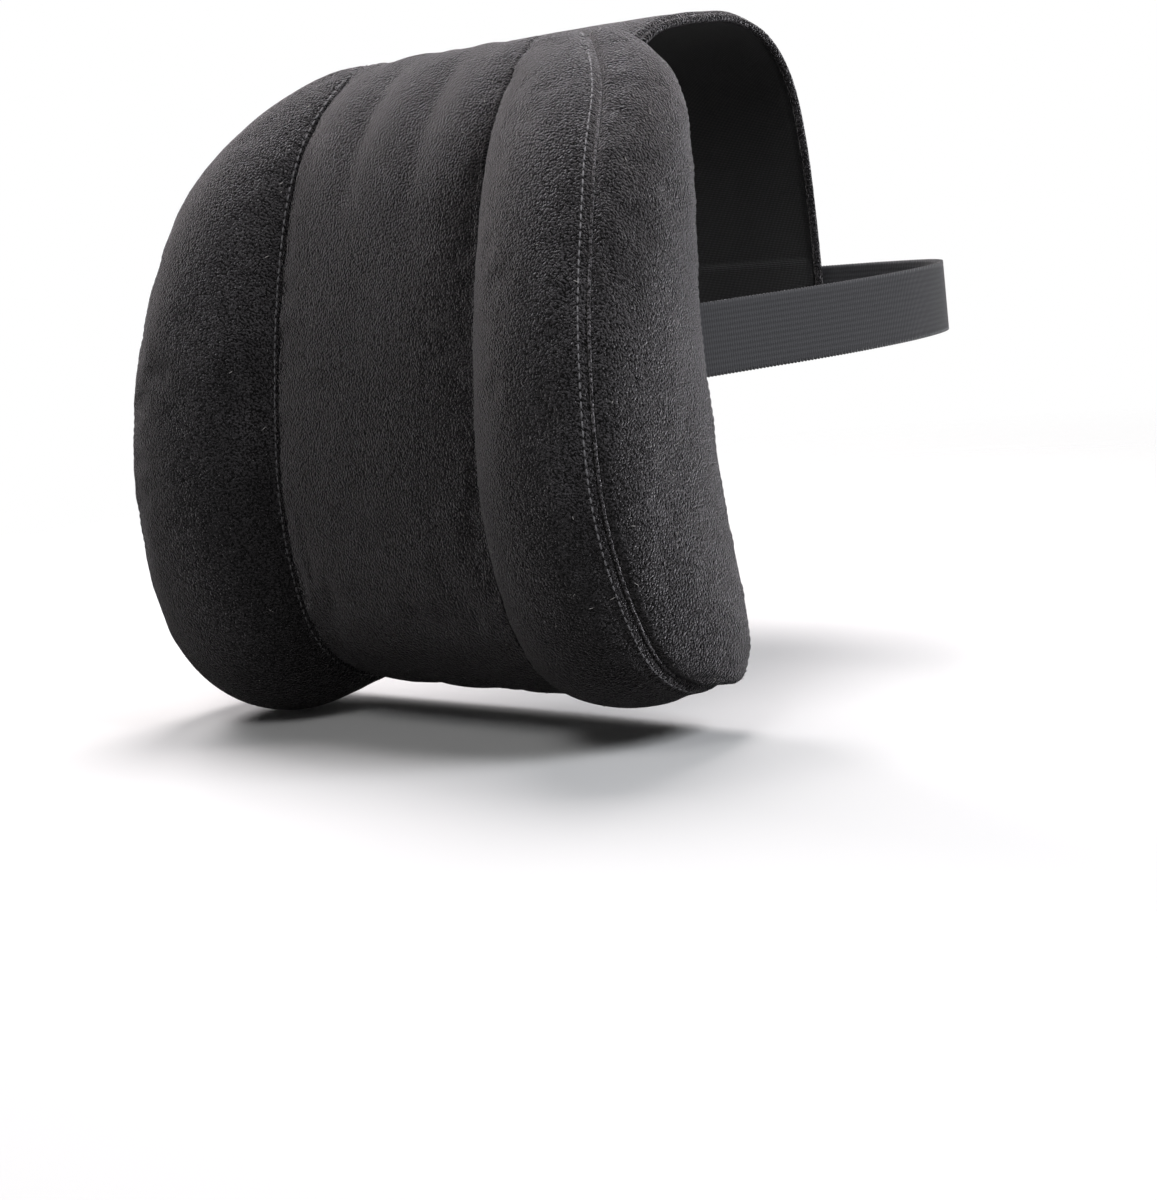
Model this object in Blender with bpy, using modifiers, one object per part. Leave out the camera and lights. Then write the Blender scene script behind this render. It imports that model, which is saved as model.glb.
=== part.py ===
"""Car neck pillow: a foam block in a panelled suede cover that a flap and an elastic band hold to a headrest.

Metres, +Z up. The origin is the middle of the flat back, which lies on the headrest in the plane Y = 0.
The neck rests on the front, at -Y, and the headrest stands at +Y. Left and right are as seen from the front.
"""

import math

import bmesh
import bpy
import numpy as np

# Main sizes: the pillow's own, and how far behind its back the flap and the band reach
WIDTH = 0.2500
DEPTH = 0.0800
HEIGHT = 0.2360
HEADREST_DEPTH = 0.1470

# The sizes that the lines below are drawn at. They are stretched from these to the main sizes.
DRAWN_WIDTH = 0.2500
DRAWN_DEPTH = 0.0800
DRAWN_HEIGHT = 0.2360
DRAWN_HEADREST_DEPTH = 0.1470
STRETCH = np.array((WIDTH / DRAWN_WIDTH, DEPTH / DRAWN_DEPTH, HEIGHT / DRAWN_HEIGHT))

# Outline of the pillow
# Each line below runs from the top seam (station 0) over the ridge and down to the bottom seam (station 8).
# The right half is given, and the left half mirrors it.

# Seam between the centre panel and a wing panel, as x, y, z
PANEL_SEAM = np.array([
    (0.0440, 0.0140, 0.1192),
    (0.0465, 0.0000, 0.1153),
    (0.0500, -0.0220, 0.0940),
    (0.0520, -0.0365, 0.0640),
    (0.0535, -0.0485, 0.0160),
    (0.0545, -0.0550, -0.0400),
    (0.0555, -0.0485, -0.0850),
    (0.0565, -0.0300, -0.1065),
    (0.0565, -0.0040, -0.1140),
])
# Seam between a wing panel and a side gusset
SIDE_SEAM = np.array([
    (0.0620, 0.0125, 0.1176),
    (0.0750, 0.0020, 0.1128),
    (0.0945, -0.0175, 0.0975),
    (0.1090, -0.0420, 0.0690),
    (0.1175, -0.0623, 0.0170),
    (0.1195, -0.0665, -0.0380),
    (0.1180, -0.0510, -0.0840),
    (0.1160, -0.0300, -0.1025),
    (0.1135, -0.0060, -0.1065),
])
# Seam between a side gusset and the back
BACK_SEAM = np.array([
    (0.0665, 0.0170, 0.1150),
    (0.0800, 0.0230, 0.1080),
    (0.0955, 0.0200, 0.0930),
    (0.1065, 0.0090, 0.0640),
    (0.1100, 0.0000, 0.0150),
    (0.1120, 0.0000, -0.0400),
    (0.1170, 0.0000, -0.0850),
    (0.1155, 0.0000, -0.1000),
    (0.1130, -0.0030, -0.1055),
])
# Middle of the back, as y, z: flat against the headrest, with the top leaning back over it
BACK_MIDDLE = np.array([
    (0.0185, 0.1153),
    (0.0245, 0.1080),
    (0.0215, 0.0930),
    (0.0090, 0.0640),
    (0.0000, 0.0150),
    (0.0000, -0.0400),
    (0.0000, -0.0850),
    (0.0000, -0.1000),
    (0.0000, -0.1105),
])
PANEL_SEAM, SIDE_SEAM, BACK_SEAM = (STRETCH * seam for seam in (PANEL_SEAM, SIDE_SEAM, BACK_SEAM))
BACK_MIDDLE = STRETCH[1:] * BACK_MIDDLE
FLAT_SHARE = 0.8  # the back is flat up to this share of its half width
LAST_STATION = 8.0
FLAT_FROM_STATION = 3.5  # the back is upright from here down

# How far each panel swells out from the straight line between its seams
WING_PUFF = np.array([0.0000, 0.0030, 0.0085, 0.0125, 0.0145, 0.0155, 0.0150, 0.0095, 0.0020])  # by station
GUSSET_PUFF = 0.0090
CENTRE_PUFF = 0.0020
ROUNDNESS = 0.68  # across a panel, where 1 is a sine arch and less is a fuller one
SWELL_ROUNDNESS = 0.6  # the same along a panel
SWELL_PAST_END = 0.35  # how far past the end seams, in stations, a panel's swelling would reach zero

# Soft flutes that run down the centre panel from the top seam
FLUTES = 3
FLUTE_DEPTH = 0.0032
FLUTE_FULL_FROM = 0.9  # station where they have come up from the flat top seam
FLUTE_FULL_TO = 1.1  # station where the flutes begin to fade
FLUTE_GONE_AT = 3.3
FLUTE_BACK_FROM = 6.2  # station where they come back, weaker, towards the bottom seam
FLUTE_BACK_SHARE = 0.35

# Cover
SKIN = 0.0012
SEAM_GAP = 0.0004  # between two panels at their seam
STEEPEST_MITRE = 1.6  # how much deeper than the skin a mitred seam may reach
GAP = 0.0003  # between layers that touch
CORE_GAP = 0.0005  # between the cover and the foam

# Zip across the back
ZIP_HEIGHT = -0.0620
ZIP_WINDOW = 0.0080  # between the two back panels
TAPE_WIDTH = 0.0125
TAPE_THICKNESS = 0.0006
COIL_WIDTH = 0.0022
COIL_THICKNESS = 0.0014
COIL_ROUNDING = 0.0004
COIL_PARTING = 0.0013  # between the two coils, where the slider's post runs
ZIP_END_INSET = 0.0040  # from the back seams to the ends of the zip
POCKET_SLOPE = 0.0030  # how far the sides of the foam's pocket for the zip slope

# Zip slider and its pull
PLATE_LENGTH = 0.0105
PLATE_WIDTH = 0.0076
PLATE_THICKNESS = 0.0009
POST_WIDTH = 0.0006
POST_LENGTH = 0.0035
BRIDGE_WIDTH = 0.0020
BRIDGE_THICKNESS = 0.0008
BRIDGE_FOOT_AT = 0.0027  # from the pull's axis to the middle of a foot
PULL_LENGTH = 0.0240
PULL_WIDTH = 0.0056
PULL_THICKNESS = 0.0010
PULL_EYE_WIDTH = 0.0032
PULL_EYE_LENGTH = 0.0036
METAL_ROUNDING = 0.00023  # of the edges of the plates and the pull
SLIDER_CLEARANCE = 0.0003
SLIDER_SHARE = 0.36  # of the pillow's width, from the middle to the slider parked near the zip's end
SLIDER_AT = SLIDER_SHARE * WIDTH

# Flap over the headrest, as y, z through the middle of its two layers
FLAP_LINE = np.array([
    (0.0170, 0.1186),
    (0.0460, 0.1213),
    (0.0720, 0.1236),
    (0.0910, 0.1246),
    (0.1100, 0.1232),
    (0.1280, 0.1150),
    (0.1400, 0.0980),
    (0.1455, 0.0720),
    (0.1470, 0.0400),
    (0.1470, 0.0100),
    (0.1470, -0.0120),
])
# Its root stays on the pillow's top, and its end on the band behind the headrest
DRAWN_ROOT = FLAP_LINE[0][0]
FLAP_ROOT = DRAWN_ROOT * STRETCH[1]
FLAP_STRETCH = (HEADREST_DEPTH - FLAP_ROOT) / (DRAWN_HEADREST_DEPTH - DRAWN_ROOT)
FLAP_LINE = np.array((FLAP_STRETCH, STRETCH[2])) * (FLAP_LINE - (DRAWN_ROOT, 0.0)) + (FLAP_ROOT, 0.0)
FLAP_SHARE = 0.204  # of the pillow's width, from the middle to the flap's edge
FLAP_HALF_WIDTH = FLAP_SHARE * WIDTH
FLAP_SKIN = 0.0012
FLAP_LINING = 0.0009
FLAP_EDGE_DROP = 0.0012  # the edges lie lower than the middle
FLAP_SAG = 0.0090  # and hang down further between the pillow and the headrest
FLAP_SAG_AT = 0.0430
FLAP_SAG_REACH = 0.0150
TUNNEL_MARGIN = 0.0040  # the tunnel in the flap reaches this far past the band

# Elastic band round the headrest, as x, y from the right back seam to the middle behind the headrest
BAND_LINE = np.array([
    (0.0074, 0.0200),
    (0.0154, 0.0420),
    (0.0214, 0.0660),
    (0.0234, 0.0950),
    (0.0174, 0.1220),
    (0.0010, 0.1400),
    (-0.0260, 0.1465),
    (-0.0600, 0.1470),
])  # x counts from the back seam at the band's height
BAND_LINE = BAND_LINE * (1.0, HEADREST_DEPTH / DRAWN_HEADREST_DEPTH)
BAND_HEIGHT = 0.0100
BAND_WIDTH = 0.0254
BAND_THICKNESS = 0.0015
BAND_ROOT_GAP = 0.0012  # from the back seam to the band's end

# Facets
CENTRE_COLUMNS = 6  # from the middle to the panel seam
WING_COLUMNS = 6
GUSSET_COLUMNS = 5
UPPER_ROWS = 15
LOWER_ROWS = 6
FLAP_ROWS = 27
FLAP_COLUMNS = 8
BAND_STEPS = 72
SHARP_FROM = math.radians(35)  # edges bent more than this are shaded sharp


def smooth_step(low, high, value):
    t = min(max((value - low) / (high - low), 0.0), 1.0)
    return t * t * (3 - 2 * t)


def unit(vector):
    return vector / np.linalg.norm(vector)


def along(stations, place):
    """The point at a place, such as 2.5 for halfway between stations 2 and 3, on a smooth line through all."""
    last = len(stations) - 1
    i = min(max(int(place), 0), last - 1)
    t = place - i
    start, end = stations[i], stations[i + 1]
    before = stations[i - 1] if i > 0 else 2 * start - end
    after = stations[i + 2] if i + 2 <= last else 2 * end - start
    leave = (end - before) / 2
    arrive = (after - start) / 2
    return (
        (2 * t**3 - 3 * t**2 + 1) * start
        + (t**3 - 2 * t**2 + t) * leave
        + (3 * t**2 - 2 * t**3) * end
        + (t**3 - t**2) * arrive
    )


def heading(stations, place):
    """The direction in which the line runs at a place."""
    last = len(stations) - 1
    step = 0.01
    return along(stations, min(place + step, last)) - along(stations, max(place - step, 0))


def swell(place):
    """How full a panel is at a station: 1 in the middle and little at the top and bottom seams."""
    share = (place + SWELL_PAST_END) / (LAST_STATION + 2 * SWELL_PAST_END)
    return math.sin(math.pi * share) ** SWELL_ROUNDNESS


def flute_share(place):
    top = smooth_step(0.0, FLUTE_FULL_FROM, place)
    top *= 1 - smooth_step(FLUTE_FULL_TO, FLUTE_GONE_AT, place)
    bottom = FLUTE_BACK_SHARE * smooth_step(FLUTE_BACK_FROM, LAST_STATION - 1, place)
    return top + bottom


def puffed(start, end, run, height, columns):
    """Points between two seams, first seam left out, that swell out square to the panel."""
    out = unit(np.cross(run, end - start))
    points = []
    for i in range(1, columns + 1):
        t = i / columns
        points.append(start + (end - start) * t + out * height * math.sin(math.pi * t) ** ROUNDNESS)
    points[-1] = end
    return points


def half_front(place):
    """The front's points from its middle to the right side seam."""
    seam = along(PANEL_SEAM, place)
    side = along(SIDE_SEAM, place)
    run = heading(PANEL_SEAM, place)
    out = unit(np.array((0.0, run[2], -run[1])))
    points = []
    for i in range(CENTRE_COLUMNS + 1):
        f = i / CENTRE_COLUMNS
        phase = FLUTES * (f + 1) / 2 % 1
        rise = CENTRE_PUFF * (1 - f * f) * swell(place)
        rise += FLUTE_DEPTH * abs(math.sin(math.pi * phase)) * flute_share(place)
        points.append(np.array((seam[0] * f, seam[1], seam[2])) + out * rise)
    points[-1] = seam
    wing_run = run + heading(SIDE_SEAM, place)
    return points + puffed(seam, side, wing_run, along(WING_PUFF, place), WING_COLUMNS)


def half_back(place):
    """The back's points from its middle to the right back seam."""
    edge = along(BACK_SEAM, place)
    middle = along(BACK_MIDDLE, place)
    columns = CENTRE_COLUMNS + WING_COLUMNS
    points = []
    for i in range(columns + 1):
        f = i / columns
        bend = smooth_step(FLAT_SHARE, 1.0, f)
        y = max(middle[0], 0.0) * (1 - bend) + edge[1] * bend
        z = middle[1] * (1 - f * f) + edge[2] * f * f
        points.append(np.array((edge[0] * f, y, z)))
    return points


def half_gusset(place):
    """The right gusset's points from the side seam to the back seam, both left out."""
    side = along(SIDE_SEAM, place)
    edge = along(BACK_SEAM, place)
    run = heading(SIDE_SEAM, place) + heading(BACK_SEAM, place)
    return puffed(side, edge, run, GUSSET_PUFF * swell(place), GUSSET_COLUMNS)[:-1]


def mirrored(points):
    return [point * np.array((-1.0, 1.0, 1.0)) for point in points]


def ring(place):
    """One closed round of points: front from left to right, right gusset, back from right to left, left gusset."""
    front, back, gusset = half_front(place), half_back(place), half_gusset(place)
    return (
        mirrored(front[:0:-1])
        + front
        + gusset
        + back[::-1]
        + mirrored(back[1:])
        + mirrored(gusset[::-1])
    )


def place_at_height(height):
    """The place on the flat of the back that lies at a height."""
    low, high = FLAT_FROM_STATION, LAST_STATION - 1
    for _ in range(40):
        middle = (low + high) / 2
        if along(BACK_MIDDLE, middle)[1] > height:
            low = middle
        else:
            high = middle
    return (low + high) / 2


# Columns of a ring, where each seam lies
SIDE_COLUMNS = CENTRE_COLUMNS + WING_COLUMNS
LEFT_SEAM = WING_COLUMNS
RIGHT_SEAM = LEFT_SEAM + 2 * CENTRE_COLUMNS
RIGHT_SIDE = 2 * SIDE_COLUMNS
RIGHT_BACK = RIGHT_SIDE + GUSSET_COLUMNS
LEFT_BACK = RIGHT_BACK + 2 * SIDE_COLUMNS
RING_SIZE = LEFT_BACK + GUSSET_COLUMNS

# Rows, which line up with the edges of the zip window and of the pocket for its tapes
POCKET_REACH = TAPE_WIDTH + COIL_PARTING
POCKET_DEPTH = SKIN + GAP + COIL_THICKNESS + TAPE_THICKNESS + 2 * SLIDER_CLEARANCE + PLATE_THICKNESS
ZIP_ROW_HEIGHTS = [ZIP_HEIGHT + d for d in (POCKET_REACH + POCKET_SLOPE, POCKET_REACH, ZIP_WINDOW / 2)]
ZIP_ROW_HEIGHTS += [ZIP_HEIGHT - d for d in (ZIP_WINDOW / 2, POCKET_REACH, POCKET_REACH + POCKET_SLOPE)]
ZIP_PLACES = [place_at_height(height) for height in ZIP_ROW_HEIGHTS]
PLACES = list(np.linspace(0, ZIP_PLACES[0], UPPER_ROWS + 1)) + ZIP_PLACES[1:-1]
PLACES += list(np.linspace(ZIP_PLACES[-1], LAST_STATION, LOWER_ROWS + 1))
WINDOW_TOP_ROW = UPPER_ROWS + 2
WINDOW_BOTTOM_ROW = WINDOW_TOP_ROW + 1


def make_collection(name):
    collection = bpy.data.collections.new(name)
    bpy.context.scene.collection.children.link(collection)
    return collection


def make_material(name, color, roughness, metallic=0.0):
    material = bpy.data.materials.new(name)
    material.use_nodes = True
    shader = material.node_tree.nodes["Principled BSDF"]
    shader.inputs["Base Color"].default_value = (*color, 1.0)
    shader.inputs["Roughness"].default_value = roughness
    shader.inputs["Metallic"].default_value = metallic
    material.diffuse_color = (*color, 1.0)
    return material


def add_object(name, mesh, collection, material):
    obj = bpy.data.objects.new(name, mesh)
    collection.objects.link(obj)
    mesh.materials.append(material)
    return obj


def mesh_from(name, points, faces):
    mesh = bpy.data.meshes.new(name)
    mesh.from_pydata([tuple(point) for point in points], [], faces)
    mesh.validate()
    mesh.shade_smooth()
    mesh.set_sharp_from_angle(angle=SHARP_FROM)
    return mesh


def ring_faces(rows):
    """The faces of a body with this many rings, its ends closed from the front's columns to the back's."""
    faces = []
    for r in range(rows - 1):
        upper, lower = r * RING_SIZE, (r + 1) * RING_SIZE
        for c in range(RING_SIZE):
            d = (c + 1) % RING_SIZE
            faces.append((upper + c, lower + c, lower + d, upper + d))
    for first, step in ((0, 1), ((rows - 1) * RING_SIZE, -1)):
        ends = [list(range(RIGHT_SIDE, RIGHT_BACK + 1)), list(range(LEFT_BACK, RING_SIZE)) + [0]]
        for c in range(RIGHT_SIDE):
            ends.append([c, c + 1, LEFT_BACK - c - 1, LEFT_BACK - c])
        faces += [tuple(first + c for c in end[::step]) for end in ends]
    return faces


def form_points():
    """The outer form of the stuffed cover, ring by ring, and the way straight in at each point."""
    rings = [ring(place) for place in PLACES]
    bm = bmesh.new()
    verts = [bm.verts.new(point) for points in rings for point in points]
    for face in ring_faces(len(rings)):
        bm.faces.new([verts[i] for i in face])
    bm.normal_update()
    inward = [-np.array(v.normal) * min(v.calc_shell_factor(), STEEPEST_MITRE) for v in verts]
    bm.free()
    return np.array(rings), np.array(inward).reshape(len(rings), RING_SIZE, 3)


def grid_faces(rows, columns, first=0):
    faces = []
    for r in range(rows - 1):
        for c in range(columns - 1):
            a = first + r * columns + c
            faces.append((a, a + columns, a + columns + 1, a + 1))
    return faces


def turned(face):
    """The face seen from its other side, still split along the same diagonal."""
    return face[:1] + face[:0:-1]


def closed_sheet(name, outer, inner):
    """A sheet with two faces of its own and a rim all round."""
    rows, columns = outer.shape[:2]
    count = rows * columns
    faces = grid_faces(rows, columns)
    faces += [turned(face) for face in grid_faces(rows, columns, count)]
    top = list(range(columns))
    right = [r * columns + columns - 1 for r in range(rows)]
    bottom = [count - 1 - c for c in range(columns)]
    left = [r * columns for r in reversed(range(rows))]
    rim = top[:-1] + right[:-1] + bottom[:-1] + left[:-1]
    for a, b in zip(rim, rim[1:] + rim[:1]):
        faces.append((a, b, b + count, a + count))
    points = np.concatenate([outer.reshape(-1, 3), inner.reshape(-1, 3)])
    return mesh_from(name, points, faces)


def drawn_in(points):
    """The sheet's points with each edge drawn in by half the seam gap."""
    points = points.copy()
    edges = (
        (points[0], points[1]),
        (points[-1], points[-2]),
        (points[:, 0], points[:, 1]),
        (points[:, -1], points[:, -2]),
    )
    for edge, inside in edges:
        way = inside - edge
        edge += way / np.linalg.norm(way, axis=-1, keepdims=True) * SEAM_GAP / 2
    return points


def add_panel(name, rows, columns, form, collection, material, before=None, after=None):
    """One panel of the cover, from some rows and columns of the form, with a row of other columns at an end."""
    points, inward = form
    outer = points[np.ix_(rows, columns)]
    ways = inward[np.ix_(rows, columns)]
    if before:
        outer = np.concatenate([points[np.ix_([0], before)], outer])
        ways = np.concatenate([inward[np.ix_([0], before)], ways])
    if after:
        outer = np.concatenate([outer, points[np.ix_([-1], after)]])
        ways = np.concatenate([ways, inward[np.ix_([-1], after)]])
    mesh = closed_sheet(name, drawn_in(outer), drawn_in(outer + ways * SKIN))
    return add_object(name, mesh, collection, material)


def add_cover(form, collection, suede, mesh_cloth):
    all_rows = list(range(len(PLACES)))
    front = {
        "left_wing_panel": range(0, LEFT_SEAM + 1),
        "centre_panel": range(LEFT_SEAM, RIGHT_SEAM + 1),
        "right_wing_panel": range(RIGHT_SEAM, RIGHT_SIDE + 1),
        "right_side_gusset": range(RIGHT_SIDE, RIGHT_BACK + 1),
    }
    for name, columns in front.items():
        add_panel(name, all_rows, list(columns), form, collection, suede)
    left_gusset = list(range(LEFT_BACK, RING_SIZE)) + [0]
    add_panel("left_side_gusset", all_rows, left_gusset, form, collection, suede)
    back = list(range(RIGHT_BACK, LEFT_BACK + 1))
    front_edge = list(range(RIGHT_SIDE, -1, -1))
    upper_rows = all_rows[: WINDOW_TOP_ROW + 1]
    lower_rows = all_rows[WINDOW_BOTTOM_ROW:]
    add_panel("back_panel_upper", upper_rows, back, form, collection, mesh_cloth, before=front_edge)
    add_panel("back_panel_lower", lower_rows, back, form, collection, mesh_cloth, after=front_edge)


def add_core(form, collection, foam):
    """The foam block fills the cover, with a shallow pocket behind the zip."""
    points, inward = form
    points = points + inward * (SKIN + CORE_GAP)
    for r, place in enumerate(PLACES):
        if abs(along(BACK_MIDDLE, place)[1] - ZIP_HEIGHT) < POCKET_REACH + POCKET_SLOPE / 2:
            back = points[r, RIGHT_BACK : LEFT_BACK + 1]
            back[:, 1] = np.minimum(back[:, 1], -POCKET_DEPTH - GAP)
    mesh = mesh_from("foam_core", points.reshape(-1, 3), ring_faces(len(PLACES)))
    add_object("foam_core", mesh, collection, foam)


def add_box(name, size, centre, collection, material):
    bpy.ops.mesh.primitive_cube_add(size=1, location=centre)
    obj = bpy.context.object
    obj.name = name
    obj.data.name = name
    obj.scale = size
    bpy.ops.object.transform_apply(location=False, rotation=False, scale=True)
    for owner in list(obj.users_collection):
        owner.objects.unlink(obj)
    collection.objects.link(obj)
    if material:
        obj.data.materials.append(material)
    return obj


def bevel(obj, width, segments=2):
    modifier = obj.modifiers.new("rounded edges", "BEVEL")
    modifier.width = width
    modifier.segments = segments
    modifier.limit_method = "ANGLE"
    return modifier


def combine(obj, other, operation):
    other.hide_render = True
    other.display_type = "WIRE"
    modifier = obj.modifiers.new(f"{operation.lower()} {other.name}", "BOOLEAN")
    modifier.operation = operation
    modifier.object = other
    modifier.solver = "EXACT"


# Depths of the zip's layers, as y, from the outside of the back inwards
COIL_TOP = 0.0
COIL_BOTTOM = COIL_TOP - COIL_THICKNESS
TAPE_TOP = min(COIL_BOTTOM, -SKIN) - GAP
TAPE_BOTTOM = TAPE_TOP - TAPE_THICKNESS
UPPER_PLATE_BOTTOM = COIL_TOP + SLIDER_CLEARANCE
UPPER_PLATE_TOP = UPPER_PLATE_BOTTOM + PLATE_THICKNESS
LOWER_PLATE_TOP = TAPE_BOTTOM - SLIDER_CLEARANCE
LOWER_PLATE_BOTTOM = LOWER_PLATE_TOP - PLATE_THICKNESS
PULL_AXIS = UPPER_PLATE_TOP + SLIDER_CLEARANCE + PULL_THICKNESS / 2
BRIDGE_BOTTOM = PULL_AXIS + PULL_THICKNESS / 2 + SLIDER_CLEARANCE
BRIDGE_TOP = BRIDGE_BOTTOM + BRIDGE_THICKNESS


def add_zip(collection, helpers, tape_cloth, nylon, metal):
    half_length = along(BACK_SEAM, place_at_height(ZIP_HEIGHT))[0] - ZIP_END_INSET
    for side, name in ((1, "upper"), (-1, "lower")):
        tape_z = ZIP_HEIGHT + side * (COIL_PARTING + TAPE_WIDTH) / 2
        coil_z = ZIP_HEIGHT + side * (COIL_PARTING + COIL_WIDTH) / 2
        size = (2 * half_length, TAPE_THICKNESS, TAPE_WIDTH)
        add_box(f"zip_tape_{name}", size, (0, (TAPE_TOP + TAPE_BOTTOM) / 2, tape_z), collection, tape_cloth)
        size = (2 * half_length, COIL_THICKNESS, COIL_WIDTH)
        coil = add_box(f"zip_coil_{name}", size, (0, (COIL_TOP + COIL_BOTTOM) / 2, coil_z), collection, nylon)
        bevel(coil, COIL_ROUNDING)
    add_slider(collection, helpers, metal)
    add_pull(collection, helpers, metal)


def add_slider(collection, helpers, metal):
    """Two plates on a post that runs between the coils, and a bridge that holds the pull."""
    size = (PLATE_LENGTH, PLATE_THICKNESS, PLATE_WIDTH)
    middle = (SLIDER_AT, (UPPER_PLATE_BOTTOM + UPPER_PLATE_TOP) / 2, ZIP_HEIGHT)
    slider = add_box("zip_slider", size, middle, collection, metal)
    overlap = PLATE_THICKNESS / 4
    middle = (SLIDER_AT, (LOWER_PLATE_BOTTOM + LOWER_PLATE_TOP) / 2, ZIP_HEIGHT)
    lower_plate = add_box("slider_lower_plate", size, middle, helpers, None)
    for plate in (slider, lower_plate):
        bevel(plate, METAL_ROUNDING)
    size = (POST_LENGTH, UPPER_PLATE_BOTTOM - LOWER_PLATE_TOP + 2 * overlap, POST_WIDTH)
    middle = (SLIDER_AT, (UPPER_PLATE_BOTTOM + LOWER_PLATE_TOP) / 2, ZIP_HEIGHT)
    post = add_box("slider_post", size, middle, helpers, None)
    size = (2 * BRIDGE_FOOT_AT + BRIDGE_THICKNESS, BRIDGE_TOP - UPPER_PLATE_TOP + overlap, BRIDGE_WIDTH)
    middle = (SLIDER_AT, (BRIDGE_TOP + UPPER_PLATE_TOP - overlap) / 2, ZIP_HEIGHT)
    bridge = add_box("slider_bridge", size, middle, helpers, None)
    size = (2 * BRIDGE_FOOT_AT - BRIDGE_THICKNESS, BRIDGE_BOTTOM - UPPER_PLATE_TOP, 2 * BRIDGE_WIDTH)
    middle = (SLIDER_AT, (BRIDGE_BOTTOM + UPPER_PLATE_TOP) / 2, ZIP_HEIGHT)
    mouth = add_box("slider_bridge_mouth", size, middle, helpers, None)
    for other in (post, lower_plate, bridge):
        combine(slider, other, "UNION")
    combine(slider, mouth, "DIFFERENCE")


def add_pull(collection, helpers, metal):
    """A flat tab whose eye lies round the bridge, with its end bar under it on the axis."""
    bar = PULL_THICKNESS / 2
    size = (PULL_LENGTH, PULL_THICKNESS, PULL_WIDTH)
    middle = (SLIDER_AT + bar - PULL_LENGTH / 2, PULL_AXIS, ZIP_HEIGHT)
    pull = add_box("zip_pull", size, middle, collection, metal)
    bevel(pull, METAL_ROUNDING)
    size = (PULL_EYE_LENGTH, 3 * PULL_THICKNESS, PULL_EYE_WIDTH)
    middle = (SLIDER_AT - bar - PULL_EYE_LENGTH / 2, PULL_AXIS, ZIP_HEIGHT)
    combine(pull, add_box("pull_eye", size, middle, helpers, None), "DIFFERENCE")


def flap_point(across, place, height):
    """A point of the flap at a share of its half width and at a height over the middle of its layers."""
    y, z = along(FLAP_LINE, place)
    run_y, run_z = unit(heading(FLAP_LINE, place))
    root_y = FLAP_LINE[0][0]
    sag = FLAP_SAG * math.exp(-(((y - FLAP_SAG_AT) / FLAP_SAG_REACH) ** 2))
    free = 1 - math.exp(-(((y - root_y) / (FLAP_SAG_REACH / 2)) ** 2))
    drop = (sag + FLAP_EDGE_DROP) * free * abs(across) ** 3 * max(run_y, 0.0)
    return np.array((across * FLAP_HALF_WIDTH, y - run_z * height, z + run_y * height - drop))


def tunnel_share(place):
    """1 where the band runs between the flap's layers, and 0 away from it."""
    y, z = along(FLAP_LINE, place)
    away = abs(z - BAND_HEIGHT) - BAND_WIDTH / 2
    behind = y > 0.5 * FLAP_LINE[-1][0]
    return (1 - smooth_step(TUNNEL_MARGIN / 4, TUNNEL_MARGIN, away)) * behind


def add_flap(collection, suede, lining_cloth):
    """Two layers, closed along the edges, that part behind the headrest to let the band through."""
    last = len(FLAP_LINE) - 1
    room = BAND_THICKNESS / 2 + GAP
    for name, side, thickness, material in (
        ("top_flap", 1, FLAP_SKIN, suede),
        ("flap_lining", -1, FLAP_LINING, lining_cloth),
    ):
        points = []
        for r in range(FLAP_ROWS + 1):
            place = last * r / FLAP_ROWS
            share = tunnel_share(place)
            height = side * (GAP / 2 * (1 - share) + room * share)
            for c in range(FLAP_COLUMNS + 1):
                across = 2 * c / FLAP_COLUMNS - 1
                points.append(flap_point(across, place, height))
        mesh = bpy.data.meshes.new(name)
        faces = grid_faces(FLAP_ROWS + 1, FLAP_COLUMNS + 1)
        if side < 0:
            faces = [turned(face) for face in faces]
        mesh.from_pydata([tuple(point) for point in points], [], faces)
        mesh.shade_smooth()
        obj = add_object(name, mesh, collection, material)
        solidify = obj.modifiers.new("thickness", "SOLIDIFY")
        solidify.thickness = thickness
        solidify.offset = -1.0
        solidify.use_even_offset = True


def add_band(collection, elastic):
    """An elastic band sewn into both back seams, which runs round the headrest and through the flap."""
    edge = along(BACK_SEAM, place_at_height(BAND_HEIGHT))
    root = np.array((0.0, edge[1] + BAND_ROOT_GAP))
    right = [root] + list(BAND_LINE)
    right = [point + np.array((edge[0], 0.0)) for point in right]
    stations = np.array(right + [(0.0, HEADREST_DEPTH)] + [point * np.array((-1, 1)) for point in reversed(right)])
    last = len(stations) - 1
    points = []
    for side in (1, -1):
        for i in range(BAND_STEPS + 1):
            x, y = along(stations, last * i / BAND_STEPS)
            points.append((x, y, BAND_HEIGHT + side * BAND_WIDTH / 2))
    mesh = bpy.data.meshes.new("elastic_band")
    mesh.from_pydata(points, [], grid_faces(2, BAND_STEPS + 1))
    mesh.shade_smooth()
    band = add_object("elastic_band", mesh, collection, elastic)
    solidify = band.modifiers.new("thickness", "SOLIDIFY")
    solidify.thickness = BAND_THICKNESS
    solidify.offset = 0.0
    solidify.use_even_offset = True


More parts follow.
